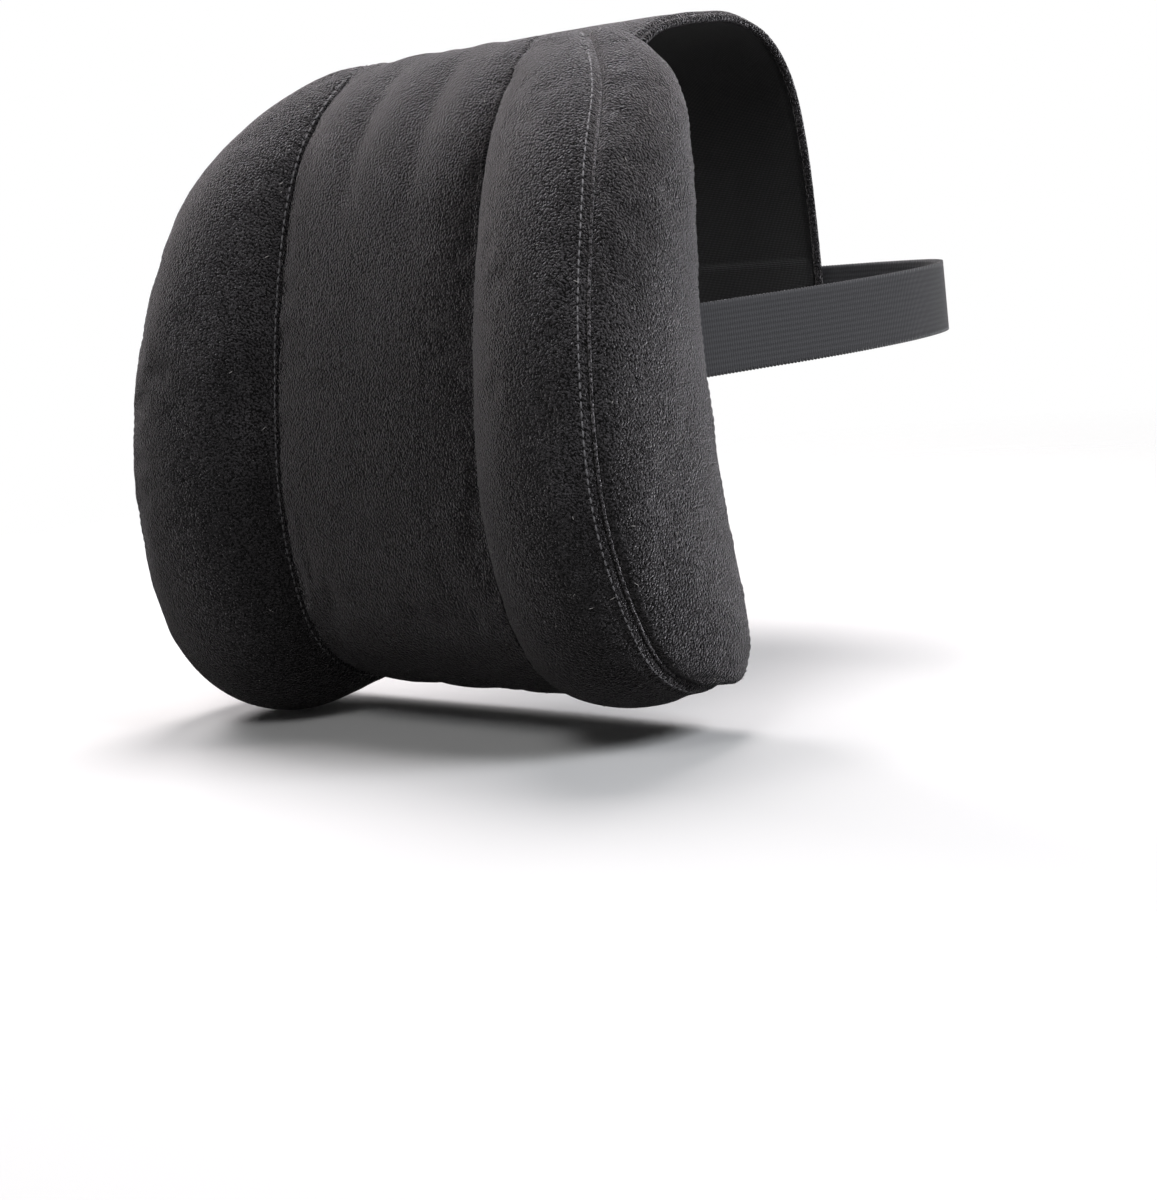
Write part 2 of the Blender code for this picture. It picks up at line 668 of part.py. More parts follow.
def main():
    for obj in list(bpy.data.objects):
        bpy.data.objects.remove(obj)
    parts = make_collection("car_neck_pillow")
    helpers = make_collection("helpers")
    suede = make_material("suede", (0.020, 0.019, 0.020), 0.95)
    back_cloth = make_material("back_cloth", (0.025, 0.025, 0.027), 0.90)
    lining = make_material("lining_cloth", (0.022, 0.022, 0.024), 0.90)
    foam = make_material("memory_foam", (0.72, 0.70, 0.62), 0.90)
    elastic = make_material("elastic", (0.030, 0.030, 0.034), 0.75)
    tape = make_material("zip_tape", (0.020, 0.020, 0.022), 0.85)
    nylon = make_material("zip_nylon", (0.018, 0.018, 0.020), 0.45)
    metal = make_material("zip_metal", (0.10, 0.10, 0.11), 0.35, 1.0)
    form = form_points()
    add_core(form, parts, foam)
    add_cover(form, parts, suede, back_cloth)
    add_zip(parts, helpers, tape, nylon, metal)
    add_flap(parts, suede, lining)
    add_band(parts, elastic)


main()
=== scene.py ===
"""Dresses the car neck pillow: suede cover, foam, stitching, flap, band and zip, on a pale stage."""

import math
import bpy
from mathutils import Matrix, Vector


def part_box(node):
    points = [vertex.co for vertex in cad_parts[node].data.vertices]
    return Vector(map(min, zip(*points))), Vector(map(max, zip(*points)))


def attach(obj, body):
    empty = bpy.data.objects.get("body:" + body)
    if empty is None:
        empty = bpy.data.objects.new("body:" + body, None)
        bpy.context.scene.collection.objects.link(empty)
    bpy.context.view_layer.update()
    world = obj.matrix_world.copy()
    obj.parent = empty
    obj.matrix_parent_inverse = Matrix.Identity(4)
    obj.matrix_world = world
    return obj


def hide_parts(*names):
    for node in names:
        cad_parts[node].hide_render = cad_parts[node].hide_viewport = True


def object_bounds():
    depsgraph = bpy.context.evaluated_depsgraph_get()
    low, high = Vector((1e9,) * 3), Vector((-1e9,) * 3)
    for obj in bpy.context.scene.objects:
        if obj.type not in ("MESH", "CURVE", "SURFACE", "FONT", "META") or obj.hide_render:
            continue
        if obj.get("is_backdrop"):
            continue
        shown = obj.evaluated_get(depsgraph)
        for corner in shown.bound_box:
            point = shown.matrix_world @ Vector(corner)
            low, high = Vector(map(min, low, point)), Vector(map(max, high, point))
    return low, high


bl_info = {
    "name": "Car neck pillow",
    "version": (1, 0, 0),
    "blender": (4, 5, 0),
    "location": "3D View > Sidebar > Neck pillow",
    "description": "Builds the cloth, stitching, band and zip of a car neck pillow round its packed solids",
    "category": "Object",
}

import bmesh
import bpy
import numpy as np
from bpy.props import FloatProperty, FloatVectorProperty, IntProperty, PointerProperty
from mathutils import Matrix, Vector, noise

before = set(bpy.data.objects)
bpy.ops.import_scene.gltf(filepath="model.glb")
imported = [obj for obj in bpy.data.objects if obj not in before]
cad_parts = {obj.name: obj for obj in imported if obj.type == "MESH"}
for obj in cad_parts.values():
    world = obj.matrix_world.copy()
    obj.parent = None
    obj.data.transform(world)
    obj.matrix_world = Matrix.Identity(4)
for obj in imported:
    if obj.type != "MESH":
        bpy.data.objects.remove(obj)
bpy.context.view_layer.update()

# The seams, as x, y, z, from the top seam (station 0) over the ridge and down to the bottom seam (station 8)
PANEL_SEAM = np.array([
    (0.044, 0.014, 0.1192),
    (0.0465, 0, 0.1153),
    (0.05, -0.022, 0.094),
    (0.052, -0.0365, 0.064),
    (0.0535, -0.0485, 0.016),
    (0.0545, -0.055, -0.04),
    (0.0555, -0.0485, -0.085),
    (0.0565, -0.03, -0.1065),
    (0.0565, -0.004, -0.114),
])
SIDE_SEAM = np.array([
    (0.062, 0.0125, 0.1176),
    (0.075, 0.002, 0.1128),
    (0.0945, -0.0175, 0.0975),
    (0.109, -0.042, 0.069),
    (0.1175, -0.0623, 0.017),
    (0.1195, -0.0665, -0.038),
    (0.118, -0.051, -0.084),
    (0.116, -0.03, -0.1025),
    (0.1135, -0.006, -0.1065),
])
BACK_SEAM = np.array([
    (0.0665, 0.017, 0.115),
    (0.08, 0.023, 0.108),
    (0.0955, 0.02, 0.093),
    (0.1065, 0.009, 0.064),
    (0.11, 0, 0.015),
    (0.112, 0, -0.04),
    (0.117, 0, -0.085),
    (0.1155, 0, -0.1),
    (0.113, -0.003, -0.1055),
])
BACK_MIDDLE = np.array([
    (0, 0.0185, 0.1153),
    (0, 0.0245, 0.108),
    (0, 0.0215, 0.093),
    (0, 0.009, 0.064),
    (0, 0, 0.015),
    (0, 0, -0.04),
    (0, 0, -0.085),
    (0, 0, -0.1),
    (0, 0, -0.1105),
])
# How far the left side seam has sagged outwards, forwards and down, and how far each wing swells out, by station
LEFT_SAG = np.array([
    *[(0, 0, 0)] * 3,
    (0.001, -0.001, 0),
    (0.0015, -0.0015, 0),
    (0.0045, -0.0035, 0),
    (0.009, -0.0088, -0.0035),
    (0.008, -0.0072, -0.0065),
    (0, 0, 0),
])
LEFT_PUFF = np.array([0, 0.003, 0.0085, 0.0135, 0.0165, 0.0175, 0.0195, 0.0165, 0.003])
RIGHT_PUFF = np.array([0, 0.003, 0.0085, 0.0125, 0.0145, 0.0155, 0.013, 0.0075, 0.002])
GUSSET_PUFF = 0.009
CENTRE_PUFF = 0.002
ROUNDNESS = 0.68
LAST_STATION = 8.0
FLAT_SHARE = 0.8  # of the back's half width, past which it bends to its edge
FLUTES = 3
FLUTE_SOFTNESS = 0.012
CLOTH = 0.0012
ZIP_HEIGHT = -0.062
ZIP_WINDOW = 0.008
SIDES = (("left", -1.0), ("right", 1.0))

# The cloth beside a seam: its roll, the lip past it, the puckers, and the dents that the stitches draw
ROLL_REACH = 0.0008
LIP_AT = 0.0014
CENTRE_LIP = 0.00045
GUSSET_LIP = 0.0004
PUCKER_LENGTH = 0.0075
LONG_PUCKER_LENGTH = 0.017
PUCKER_AT = 0.0035
PUCKER_REACH = 0.0045
STITCH_DENT = 0.0007
STITCH_DENT_REACH = 0.0009
PANEL_STITCH_AT = 0.0023
SIDE_STITCH_AT = 0.0036
BACK_STITCH_AT = 0.004
ZIP_STITCH_AT = 0.0045
STITCH_LENGTH = 0.0024
STITCH_LIFT = -0.00005

# The flap's line through the middle of its layers, as y, z
FLAP_LINE = np.array([
    (0.017, 0.1186),
    (0.046, 0.1213),
    (0.072, 0.1236),
    (0.091, 0.1246),
    (0.11, 0.1232),
    (0.128, 0.115),
    (0.14, 0.098),
    (0.1455, 0.072),
    (0.147, 0.04),
    (0.147, 0.01),
    (0.147, -0.012),
])
FLAP_SAG = 0.009
FLAP_SAG_AT = 0.043
FLAP_SAG_REACH = 0.015
FLAP_EDGE_DROP = 0.0012
TUNNEL_MARGIN = 0.004

# The band's line from the right back seam to the middle behind the headrest, as x from the seam, y
BAND_LINE = np.array([
    (0, -0.001),
    (0.0074, 0.02),
    (0.0154, 0.042),
    (0.0214, 0.066),
    (0.0234, 0.095),
    (0.0174, 0.122),
    (0.001, 0.14),
    (-0.026, 0.1465),
    (-0.06, 0.147),
    (-0.1101, 0.147),
])
BAND_HEIGHT = 0.01
BAND_WIDTH = 0.0254
BAND_THICKNESS = 0.0015


LENGTH = {"subtype": "DISTANCE", "unit": "LENGTH"}
COLOR = {"subtype": "COLOR", "size": 3, "min": 0, "max": 1}


class CoverSettings(bpy.types.PropertyGroup):
    suede_color: FloatVectorProperty(
        name="Suede", description="Colour of the suede", default=(0.038, 0.0358, 0.0374), **COLOR
    )
    back_color: FloatVectorProperty(
        name="Back cloth", description="Colour of the knitted back", default=(0.04, 0.04, 0.042), **COLOR
    )
    lip_height: FloatProperty(
        name="Seam roll", description="How far the cloth rises beside a seam", default=0.0012, **LENGTH
    )
    pucker_height: FloatProperty(
        name="Puckers", description="Height of the small gathers beside a seam", default=0.00035, **LENGTH
    )
    flute_depth: FloatProperty(
        name="Flutes", description="Depth of the centre panel's flutes", default=0.0027, **LENGTH
    )
    welt_radius: FloatProperty(
        name="Welt", description="Half the thickness of the side seams' welts", default=0.00055, **LENGTH
    )
    lint: IntProperty(name="Lint", description="Fibres of lint on the suede", min=0, default=170)
    pressure: FloatProperty(
        name="Filling", description="How hard the filling presses on the cover", min=0, default=4.0
    )
    fullness: FloatProperty(
        name="Fullness", description="Spare cloth between the seams, as a share", min=0, max=0.2, default=0.007
    )
    stiffness: FloatProperty(name="Stiffness", description="How much the cloth resists a fold", min=0, default=0.5)


class StitchSettings(bpy.types.PropertyGroup):
    thread_color: FloatVectorProperty(
        name="Thread", description="Colour of the thread", default=(0.15, 0.145, 0.152), **COLOR
    )
    pitch: FloatProperty(name="Stitch length", description="From one stitch to the next", default=0.0031, **LENGTH)
    thickness: FloatProperty(
        name="Thread thickness", description="Thickness of the thread", default=0.00072, **LENGTH
    )


class StrapSettings(bpy.types.PropertyGroup):
    band_color: FloatVectorProperty(
        name="Elastic", description="Colour of the elastic band", default=(0.032, 0.032, 0.036), **COLOR
    )
    band_ribs: IntProperty(name="Ribs", description="Ribs across the elastic band", min=4, default=14)
    flap_half_width: FloatProperty(
        name="Flap half width", description="From the flap's middle to its edge", default=0.051, **LENGTH
    )


class ZipSettings(bpy.types.PropertyGroup):
    tooth_pitch: FloatProperty(
        name="Tooth pitch", description="From one turn of the coil to the next", default=0.0015, **LENGTH
    )
    metal_color: FloatVectorProperty(
        name="Lacquer", description="Colour of the slider's lacquer", default=(0.03, 0.03, 0.032), **COLOR
    )


class StageSettings(bpy.types.PropertyGroup):
    floor_color: FloatVectorProperty(
        name="Floor", description="Colour of the floor", default=(0.86, 0.86, 0.86), **COLOR
    )
    key_power: FloatProperty(
        name="Key light", description="Power of the overhead softbox", unit="POWER", default=10.0
    )
    rim_power: FloatProperty(
        name="Rim light", description="Power of the softbox at the left", unit="POWER", default=9.0
    )
    side_power: FloatProperty(
        name="Side light", description="Power of the softbox at the right", unit="POWER", default=7.6
    )


def along(stations, place):
    """Points at places on a smooth line through all stations."""
    place = np.atleast_1d(np.asarray(place, float))
    last = len(stations) - 1
    i = np.clip(place.astype(int), 0, last - 1)
    t = (place - i).reshape(-1, *[1] * (stations.ndim - 1))
    padded = np.concatenate([[2 * stations[0] - stations[1]], stations, [2 * stations[-1] - stations[-2]]])
    before, start, end, after = padded[i], padded[i + 1], padded[i + 2], padded[i + 3]
    leave, arrive = (end - before) / 2, (after - start) / 2
    return (
        (2 * t**3 - 3 * t**2 + 1) * start
        + (t**3 - 2 * t**2 + t) * leave
        + (3 * t**2 - 2 * t**3) * end
        + (t**3 - t**2) * arrive
    )


def stacked(x, y, z):
    return np.stack(np.broadcast_arrays(x, y, z), -1)


def heading(stations, place):
    place = np.atleast_1d(np.asarray(place, float))
    last = len(stations) - 1
    return along(stations, np.minimum(place + 0.01, last)) - along(stations, np.maximum(place - 0.01, 0))


def unit(vectors):
    return vectors / np.linalg.norm(vectors, axis=-1, keepdims=True)


def smooth_step(low, high, value):
    t = np.clip((np.asarray(value, float) - low) / (high - low), 0, 1)
    return t * t * (3 - 2 * t)


def bump_at(distance, centre, width):
    return np.exp(-(((distance - centre) / width) ** 2))


def swell(place):
    share = (place + 0.35) / (LAST_STATION + 0.7)
    return np.sin(np.pi * share) ** 0.6


def end_fade(place):
    """0 at the end seams and 1 away from them."""
    return smooth_step(0, 0.5, place) * smooth_step(0, 0.4, LAST_STATION - place)


def wave(distance, seed, length):
    """A smooth irregular wave along a seam, from about -1 to 1."""
    return np.array([2.0 * noise.noise(Vector((s / length, seed, 0.37 * seed))) for s in distance])


def lengths_along(points):
    """How far along a line each of its points lies."""
    steps = np.linalg.norm(np.diff(points, axis=0), axis=1)
    return np.concatenate([[0], np.cumsum(steps)])


def read_at(distance, lengths, values):
    """Values that are given at lengths, read at a distance, or at several."""
    return np.array([np.interp(distance, lengths, column) for column in values.T]).T


def side_seam(side):
    return SIDE_SEAM + LEFT_SAG * (side < 0)


def beside_seam(distance, run, seed, settings, stitch_at=None, lip=0.0):
    """How far the cloth stands out at a distance from a seam; rows run along the seam and columns away from it."""
    if settings is None:
        return np.zeros(distance.shape)
    rise = settings.lip_height * (1 - np.exp(-((distance / ROLL_REACH) ** 2)))
    rise = rise + lip * bump_at(distance, LIP_AT, ROLL_REACH)
    gathers = wave(run, seed, PUCKER_LENGTH) + 0.6 * wave(run, seed + 5.0, LONG_PUCKER_LENGTH)
    where = bump_at(distance, PUCKER_AT, PUCKER_REACH)
    rise = rise + settings.pucker_height * gathers[:, None] * where * (distance > 0)
    if stitch_at is not None:
        pitch = bpy.context.scene.pillow_stitches.pitch
        tension = 0.62 - 0.38 * np.cos(2 * np.pi * run / pitch)
        rise = rise - STITCH_DENT * tension[:, None] * bump_at(distance, stitch_at, STITCH_DENT_REACH)
    return rise


def bunched(count, strength=0.72):
    """Shares from 0 to 1 that lie closer together towards both ends."""
    t = np.linspace(0, 1, count)
    return t - strength * np.sin(2 * np.pi * t) / (2 * np.pi)


def flute_share(place):
    top = smooth_step(0.5, 1.8, place) * (1 - smooth_step(1.9, 3.8, place))
    return top + 0.35 * smooth_step(6.2, LAST_STATION - 1, place)


def centre_form(places, shares, settings):
    """The centre panel from its left seam (share 0) to its right seam (share 1)."""
    seam = along(PANEL_SEAM, places)
    run = heading(PANEL_SEAM, places)
    out = unit(stacked(0.0, run[:, 2], -run[:, 1]))
    across = 2 * shares - 1
    base = stacked(seam[:, :1] * across, seam[:, 1:2], seam[:, 2:])
    rise = CENTRE_PUFF * (1 - across**2)[None, :] * swell(places)[:, None]
    phase = np.pi * FLUTES * (across + 1) / 2
    flute = np.sqrt(np.sin(phase) ** 2 + FLUTE_SOFTNESS) - math.sqrt(FLUTE_SOFTNESS)
    length = lengths_along(seam)
    wander = 1 + 0.2 * wave(length, 3.3, 0.05)
    depth = bpy.context.scene.pillow_cover.flute_depth
    rise = rise + depth * flute[None, :] * (flute_share(places) * wander)[:, None]
    fade = end_fade(places)[:, None]
    for from_seam, seed, near in ((across + 1, 1.7, across <= 0), (1 - across, 2.9, across > 0)):
        distance = from_seam[None, :] * seam[:, :1]
        rise = rise + fade * beside_seam(distance, length, seed, settings, lip=CENTRE_LIP) * near
    return base + out[:, None, :] * rise[:, :, None]


def arched(start, end, run, height, shares):
    out = unit(np.cross(run, end - start))
    arch = np.sin(np.pi * shares) ** ROUNDNESS
    base = start[:, None] + (end - start)[:, None] * shares[None, :, None]
    return base + out[:, None] * (height[:, None] * arch[None])[:, :, None], out


def strip_form(places, shares, settings, side, height, first, second):
    """A strip from a first seam (share 0) to a second (share 1), each given with its seed and what lies beside it."""
    lines = [side_seam(side) if seam is SIDE_SEAM else seam for seam, *_ in (first, second)]
    start, end = (along(line, places) for line in lines)
    run = heading(lines[0], places) + heading(lines[1], places)
    points, out = arched(start, end, run, height, shares)
    width = np.linalg.norm(end - start, axis=1)[:, None]
    near = shares[None] <= 0.5
    rise = 0.0
    for (seam, seed, cloth), from_seam, here in ((first, shares, near), (second, 1 - shares, ~near)):
        length = lengths_along(along(seam, places))
        rise = rise + beside_seam(from_seam[None] * width, length, seed + side, settings, **cloth) * here
    points = points + out[:, None] * (rise * end_fade(places)[:, None])[:, :, None]
    return points * np.array((side, 1.0, 1.0))


def wing_form(places, shares, settings, side):
    """A wing panel from the panel seam (share 0) to the side seam (share 1)."""
    puff = along(LEFT_PUFF if side < 0 else RIGHT_PUFF, places)
    first = (PANEL_SEAM, 7.1, {"stitch_at": PANEL_STITCH_AT})
    second = (SIDE_SEAM, 11.3, {"stitch_at": SIDE_STITCH_AT})
    return strip_form(places, shares, settings, side, puff, first, second)


def gusset_form(places, shares, settings, side):
    """A side gusset from the side seam (share 0) to the back seam (share 1)."""
    puff = GUSSET_PUFF * swell(places) * end_fade(places)
    first = (SIDE_SEAM, 17.9, {"lip": GUSSET_LIP})
    return strip_form(places, shares, settings, side, puff, first, (BACK_SEAM, 23.3, {}))


def back_surface(places, shares):
    """The back from its left edge (share 0) to its right edge (share 1)."""
    edge, middle = along(BACK_SEAM, places), along(BACK_MIDDLE, places)
    across = 2 * shares - 1
    bend = smooth_step(FLAT_SHARE, 1.0, np.abs(across))
    y = np.maximum(middle[:, 1:2], 0) * (1 - bend) + edge[:, 1:2] * bend
    z = middle[:, 2:] * (1 - across**2) + edge[:, 2:] * across**2
    return stacked(edge[:, :1] * across, y, z)


def front_edge(place, shares):
    """The edge of the front at an end seam, from the left side seam to the right one."""
    seam, side = along(PANEL_SEAM, place)[0], along(SIDE_SEAM, place)[0]
    across = 2 * shares - 1
    x = np.abs(across) * side[0]
    t = np.clip((x - seam[0]) / (side[0] - seam[0]), 0, 1)
    y = seam[1] + (side[1] - seam[1]) * t
    z = seam[2] + (side[2] - seam[2]) * t
    return stacked(across * side[0], y, z)


def place_at_height(height):
    low, high = 3.5, LAST_STATION - 1
    for _ in range(40):
        middle = (low + high) / 2
        if along(BACK_MIDDLE, middle)[0][2] > height:
            low = middle
        else:
            high = middle
    return (low + high) / 2


def new_mesh(name, bm):
    mesh = bpy.data.meshes.new(name)
    bm.to_mesh(mesh)
    bm.free()
    mesh.shade_smooth()
    return mesh


def grid_and_spots(name, points, flip=False):
    """A mesh with its vertices on a grid of points and a UV map in metres, and each vertex's row and column."""
    rows, columns = points.shape[:2]
    bm = bmesh.new()
    bmesh.ops.create_grid(bm, x_segments=columns - 1, y_segments=rows - 1, size=0.5)
    if flip:
        bmesh.ops.reverse_faces(bm, faces=bm.faces)
    mesh = new_mesh(name, bm)
    flat = np.empty(len(mesh.vertices) * 3, np.float32)
    mesh.vertices.foreach_get("co", flat)
    r = np.rint((0.5 - flat[1::3]) * (rows - 1)).astype(int)
    c = np.rint((flat[0::3] + 0.5) * (columns - 1)).astype(int)
    mesh.vertices.foreach_set("co", points[r, c].astype(np.float32).ravel())
    width = lengths_along(points[rows // 2])[-1]
    length = lengths_along(points[:, columns // 2])[-1]
    corners = np.empty(len(mesh.loops), np.int32)
    mesh.loops.foreach_get("vertex_index", corners)
    uv = np.stack([c / (columns - 1) * width, (1 - r / (rows - 1)) * length], 1)[corners]
    mesh.uv_layers.new(name="UVMap").data.foreach_set("uv", uv.astype(np.float32).ravel())
    mesh.update()
    return mesh, r, c


def grid_mesh(name, points, flip=False):
    return grid_and_spots(name, points, flip)[0]


def new_object(name, data):
    obj = bpy.data.objects.new(name, data)
    bpy.context.scene.collection.objects.link(obj)
    return obj


def add_piece(name, mesh, material, replaced=None):
    obj = new_object(name, mesh)
    mesh.materials.clear()
    mesh.materials.append(material)
    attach(obj, "pillow")
    if replaced:
        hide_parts(replaced)
    return obj


def add_cloth(name, points, thickness, material, replaced, flip=True, offset=-1.0):
    """A piece of cloth on a grid of points, which lie on its outer side unless it has another offset."""
    obj = add_piece(name, grid_mesh(name, points, flip), material, replaced)
    solidify = obj.modifiers.new("thickness", "SOLIDIFY")
    solidify.thickness = thickness
    solidify.offset = offset
    solidify.use_even_offset = True
    solidify.thickness_clamp = 1.0
    return obj


def set_inputs(node, **inputs):
    for name, value in inputs.items():
        node.inputs[name.replace("_", " ")].default_value = value
    return node


def add_node(tree, kind, **inputs):
    return set_inputs(tree.nodes.new(kind), **inputs)


def new_material(name, color, roughness, space="Object", **inputs):
    """A material, its tree, its shader with the inputs set, and the coordinates that its patterns follow."""
    material = bpy.data.materials.new(name)
    material.use_nodes = True
    material.diffuse_color = (*color, 1)
    tree = material.node_tree
    shader = tree.nodes["Principled BSDF"]
    set_inputs(shader, Base_Color=(*color, 1), Roughness=roughness, **inputs)
    return material, tree, shader, tree.nodes.new("ShaderNodeTexCoord").outputs[space]


def noise_at(tree, coordinates, scale, detail=2.0, roughness=0.5, stretch=None):
    if stretch:
        mapping = tree.nodes.new("ShaderNodeMapping")
        mapping.inputs["Scale"].default_value = stretch
        tree.links.new(coordinates, mapping.inputs["Vector"])
        coordinates = mapping.outputs["Vector"]
    node = add_node(tree, "ShaderNodeTexNoise", Scale=scale, Detail=detail, Roughness=roughness)
    tree.links.new(coordinates, node.inputs["Vector"])
    return node.outputs["Fac"]


def wave_bands(tree, coordinates, direction, period, distortion=0.0):
    """Bands across the X or the Y of the coordinates, a period apart."""
    node = add_node(tree, "ShaderNodeTexWave", Scale=math.pi / 10 / period, Distortion=distortion)
    node.bands_direction = direction
    tree.links.new(coordinates, node.inputs["Vector"])
    return node.outputs["Fac"]


def ranged(tree, value, low, high, to_low, to_high):
    node = tree.nodes.new("ShaderNodeMapRange")
    for name, number in (("From Min", low), ("From Max", high), ("To Min", to_low), ("To Max", to_high)):
        node.inputs[name].default_value = number
    tree.links.new(value, node.inputs["Value"])
    return node.outputs["Result"]


def combined(tree, first, second, operation="MULTIPLY"):
    node = tree.nodes.new("ShaderNodeMath")
    node.operation = operation
    tree.links.new(first, node.inputs[0])
    tree.links.new(second, node.inputs[1])
    return node.outputs[0]


def mixed(tree, factor, first, second):
    """Two shaders mixed by a factor, the first alone at 0 and the second at 1."""
    mix = tree.nodes.new("ShaderNodeMixShader")
    for output, socket in zip((factor, first, second), mix.inputs):
        tree.links.new(output, socket)
    return mix.outputs["Shader"]


def shade(tree, shader, color, factor):
    """Makes the shader's colour darker and lighter by a factor from a pattern."""
    node = tree.nodes.new("ShaderNodeVectorMath")
    node.operation = "SCALE"
    node.inputs[0].default_value = color
    tree.links.new(factor, node.inputs["Scale"])
    tree.links.new(node.outputs["Vector"], shader.inputs["Base Color"])


def bump(tree, shader, height, distance, strength, before=None):
    node = add_node(tree, "ShaderNodeBump", Strength=strength, Distance=distance)
    tree.links.new(height, node.inputs["Height"])
    if before:
        tree.links.new(before.outputs["Normal"], node.inputs["Normal"])
    tree.links.new(node.outputs["Normal"], shader.inputs["Normal"])
    return node


def suede_material(name, color):
    """Short-nap suede: a fine worm-like grain, mottled nap and a soft sheen at grazing angles."""
    material, tree, shader, where = new_material(
        name, color, 0.95, Sheen_Weight=0.95, Sheen_Roughness=0.26, Sheen_Tint=(0.85, 0.81, 0.83, 1),
        Specular_IOR_Level=0.12,
    )
    grain = noise_at(tree, where, 1350, 1.0)
    fine = noise_at(tree, where, 2900, 1.0)
    brushed = noise_at(tree, where, 75, 3.0, 0.6, stretch=(1.5, 1.0, 0.35))
    marks = noise_at(tree, where, 22)
    nap = combined(tree, ranged(tree, brushed, 0.32, 0.68, 0.74, 1.26), ranged(tree, marks, 0.35, 0.65, 0.82, 1.18))
    shade(tree, shader, color, combined(tree, ranged(tree, grain, 0.4, 0.6, 0.05, 2.05), nap))
    coarse = bump(tree, shader, grain, 0.0022, 1.0)
    bump(tree, shader, fine, 0.00012, 0.5, before=coarse)
    return material


def knit_material(name, color, pitch=0.0009):
    """A plain knit: columns of small loops that follow the cloth's own UV map."""
    material, tree, shader, where = new_material(
        name, color, 0.9, "UV", Sheen_Weight=0.25, Sheen_Roughness=0.5, Specular_IOR_Level=0.3
    )
    loops = combined(tree, wave_bands(tree, where, "X", pitch, 0.5), wave_bands(tree, where, "Y", pitch * 0.8, 0.5))
    mottle = ranged(tree, noise_at(tree, where, 60), 0.3, 0.7, 0.85, 1.15)
    shade(tree, shader, color, combined(tree, ranged(tree, loops, 0, 1, 0.55, 1.7), mottle))
    bump(tree, shader, loops, 0.00035, 0.9)
    return material


def thread_material(name, color):
    """Twisted thread with a slight gloss."""
    material, tree, shader, where = new_material(name, color, 0.55, Sheen_Weight=0.3)
    twist = noise_at(tree, where, 3800, 1.0)
    shade(tree, shader, color, ranged(tree, twist, 0.3, 0.7, 0.7, 1.5))
    bump(tree, shader, twist, 0.0001, 0.6)
    return material


def foam_material(name, color):
    """Open-cell foam with a fine skin of pores."""
    material, tree, shader, where = new_material(name, color, 0.85)
    cells = add_node(tree, "ShaderNodeTexVoronoi", Scale=900)
    tree.links.new(where, cells.inputs["Vector"])
    shade(tree, shader, color, ranged(tree, noise_at(tree, where, 30), 0.3, 0.7, 0.93, 1.05))
    bump(tree, shader, cells.outputs["Distance"], 0.0004, 0.5)
    return material


def elastic_material(name, color, ribs, width):
    """Woven elastic: ribs along its length and a fine weave across them, on the piece's own UV map."""
    material, tree, shader, where = new_material(
        name, color, 0.72, "UV", Sheen_Weight=0.35, Sheen_Roughness=0.4
    )
    rib = wave_bands(tree, where, "Y", width / ribs)
    weave = wave_bands(tree, where, "X", 0.0009, 0.8)
    both = combined(tree, ranged(tree, rib, 0, 1, 0.5, 1), ranged(tree, weave, 0, 1, 0.5, 1))
    shade(tree, shader, color, ranged(tree, both, 0.25, 1, 0.7, 1.35))
    bump(tree, shader, both, 0.0003, 0.8)
    return material


def lacquer_material(name, color):
    """Black lacquer on cast zinc, with small patches of wear all over."""
    material, tree, shader, where = new_material(name, color, 0.38, Metallic=0.6)
    wear = noise_at(tree, where, 700, 3.0, 0.6)
    shade(tree, shader, color, ranged(tree, wear, 0.35, 0.75, 0.8, 2.2))
    tree.links.new(ranged(tree, wear, 0.3, 0.7, 0.3, 0.48), shader.inputs["Roughness"])
    bump(tree, shader, wear, 0.00004, 0.3)
    return material


def nylon_material(name, color):
    """Moulded nylon of the zip's coils."""
    material, tree, shader, where = new_material(name, color, 0.4)
    draw = noise_at(tree, where, 900)
    shade(tree, shader, color, ranged(tree, draw, 0.3, 0.7, 0.85, 1.2))
    tree.links.new(ranged(tree, draw, 0.3, 0.7, 0.33, 0.5), shader.inputs["Roughness"])
    return material


materials = {}


def material_of(kind, maker, *values):
    """One material of each kind, shared by its pieces."""
    if kind not in materials:
        materials[kind] = maker(kind, *values)
    return materials[kind]


def suede():
    return material_of("suede", suede_material, tuple(bpy.context.scene.pillow_cover.suede_color))


def thread():
    return material_of("thread", thread_material, tuple(bpy.context.scene.pillow_stitches.thread_color))


SIM_ROWS = 99
SIM_COLUMNS = {"centre_panel": 29, "wing_panel": 16, "side_gusset": 16}
SIM_FRAMES = 20
SIM_UNEVENNESS = 0.0004  # of the cloth at the start, which its folds grow from
SIM_REACH = 0.0035  # the most that the cloth may move
FOAM_GIVES = 0.0003  # how far the foam lets the cloth sink in


def sewn_strips():
    """All five front panels, each from its left edge to its right edge, in the order they are sewn together."""
    places = np.linspace(0, LAST_STATION, SIM_ROWS)
    shares = {kind: np.linspace(0, 1, count) for kind, count in SIM_COLUMNS.items()}
    strips = {"centre_panel": centre_form(places, shares["centre_panel"], None)}
    for word, side in SIDES:
        for kind, form in (("side_gusset", gusset_form), ("wing_panel", wing_form)):
            strips[f"{word}_{kind}"] = form(places, shares[kind], None, side)[:, ::int(side)]
    order = ("left_side_gusset", "left_wing_panel", "centre_panel", "right_wing_panel", "right_side_gusset")
    return {name: strips[name] for name in order}


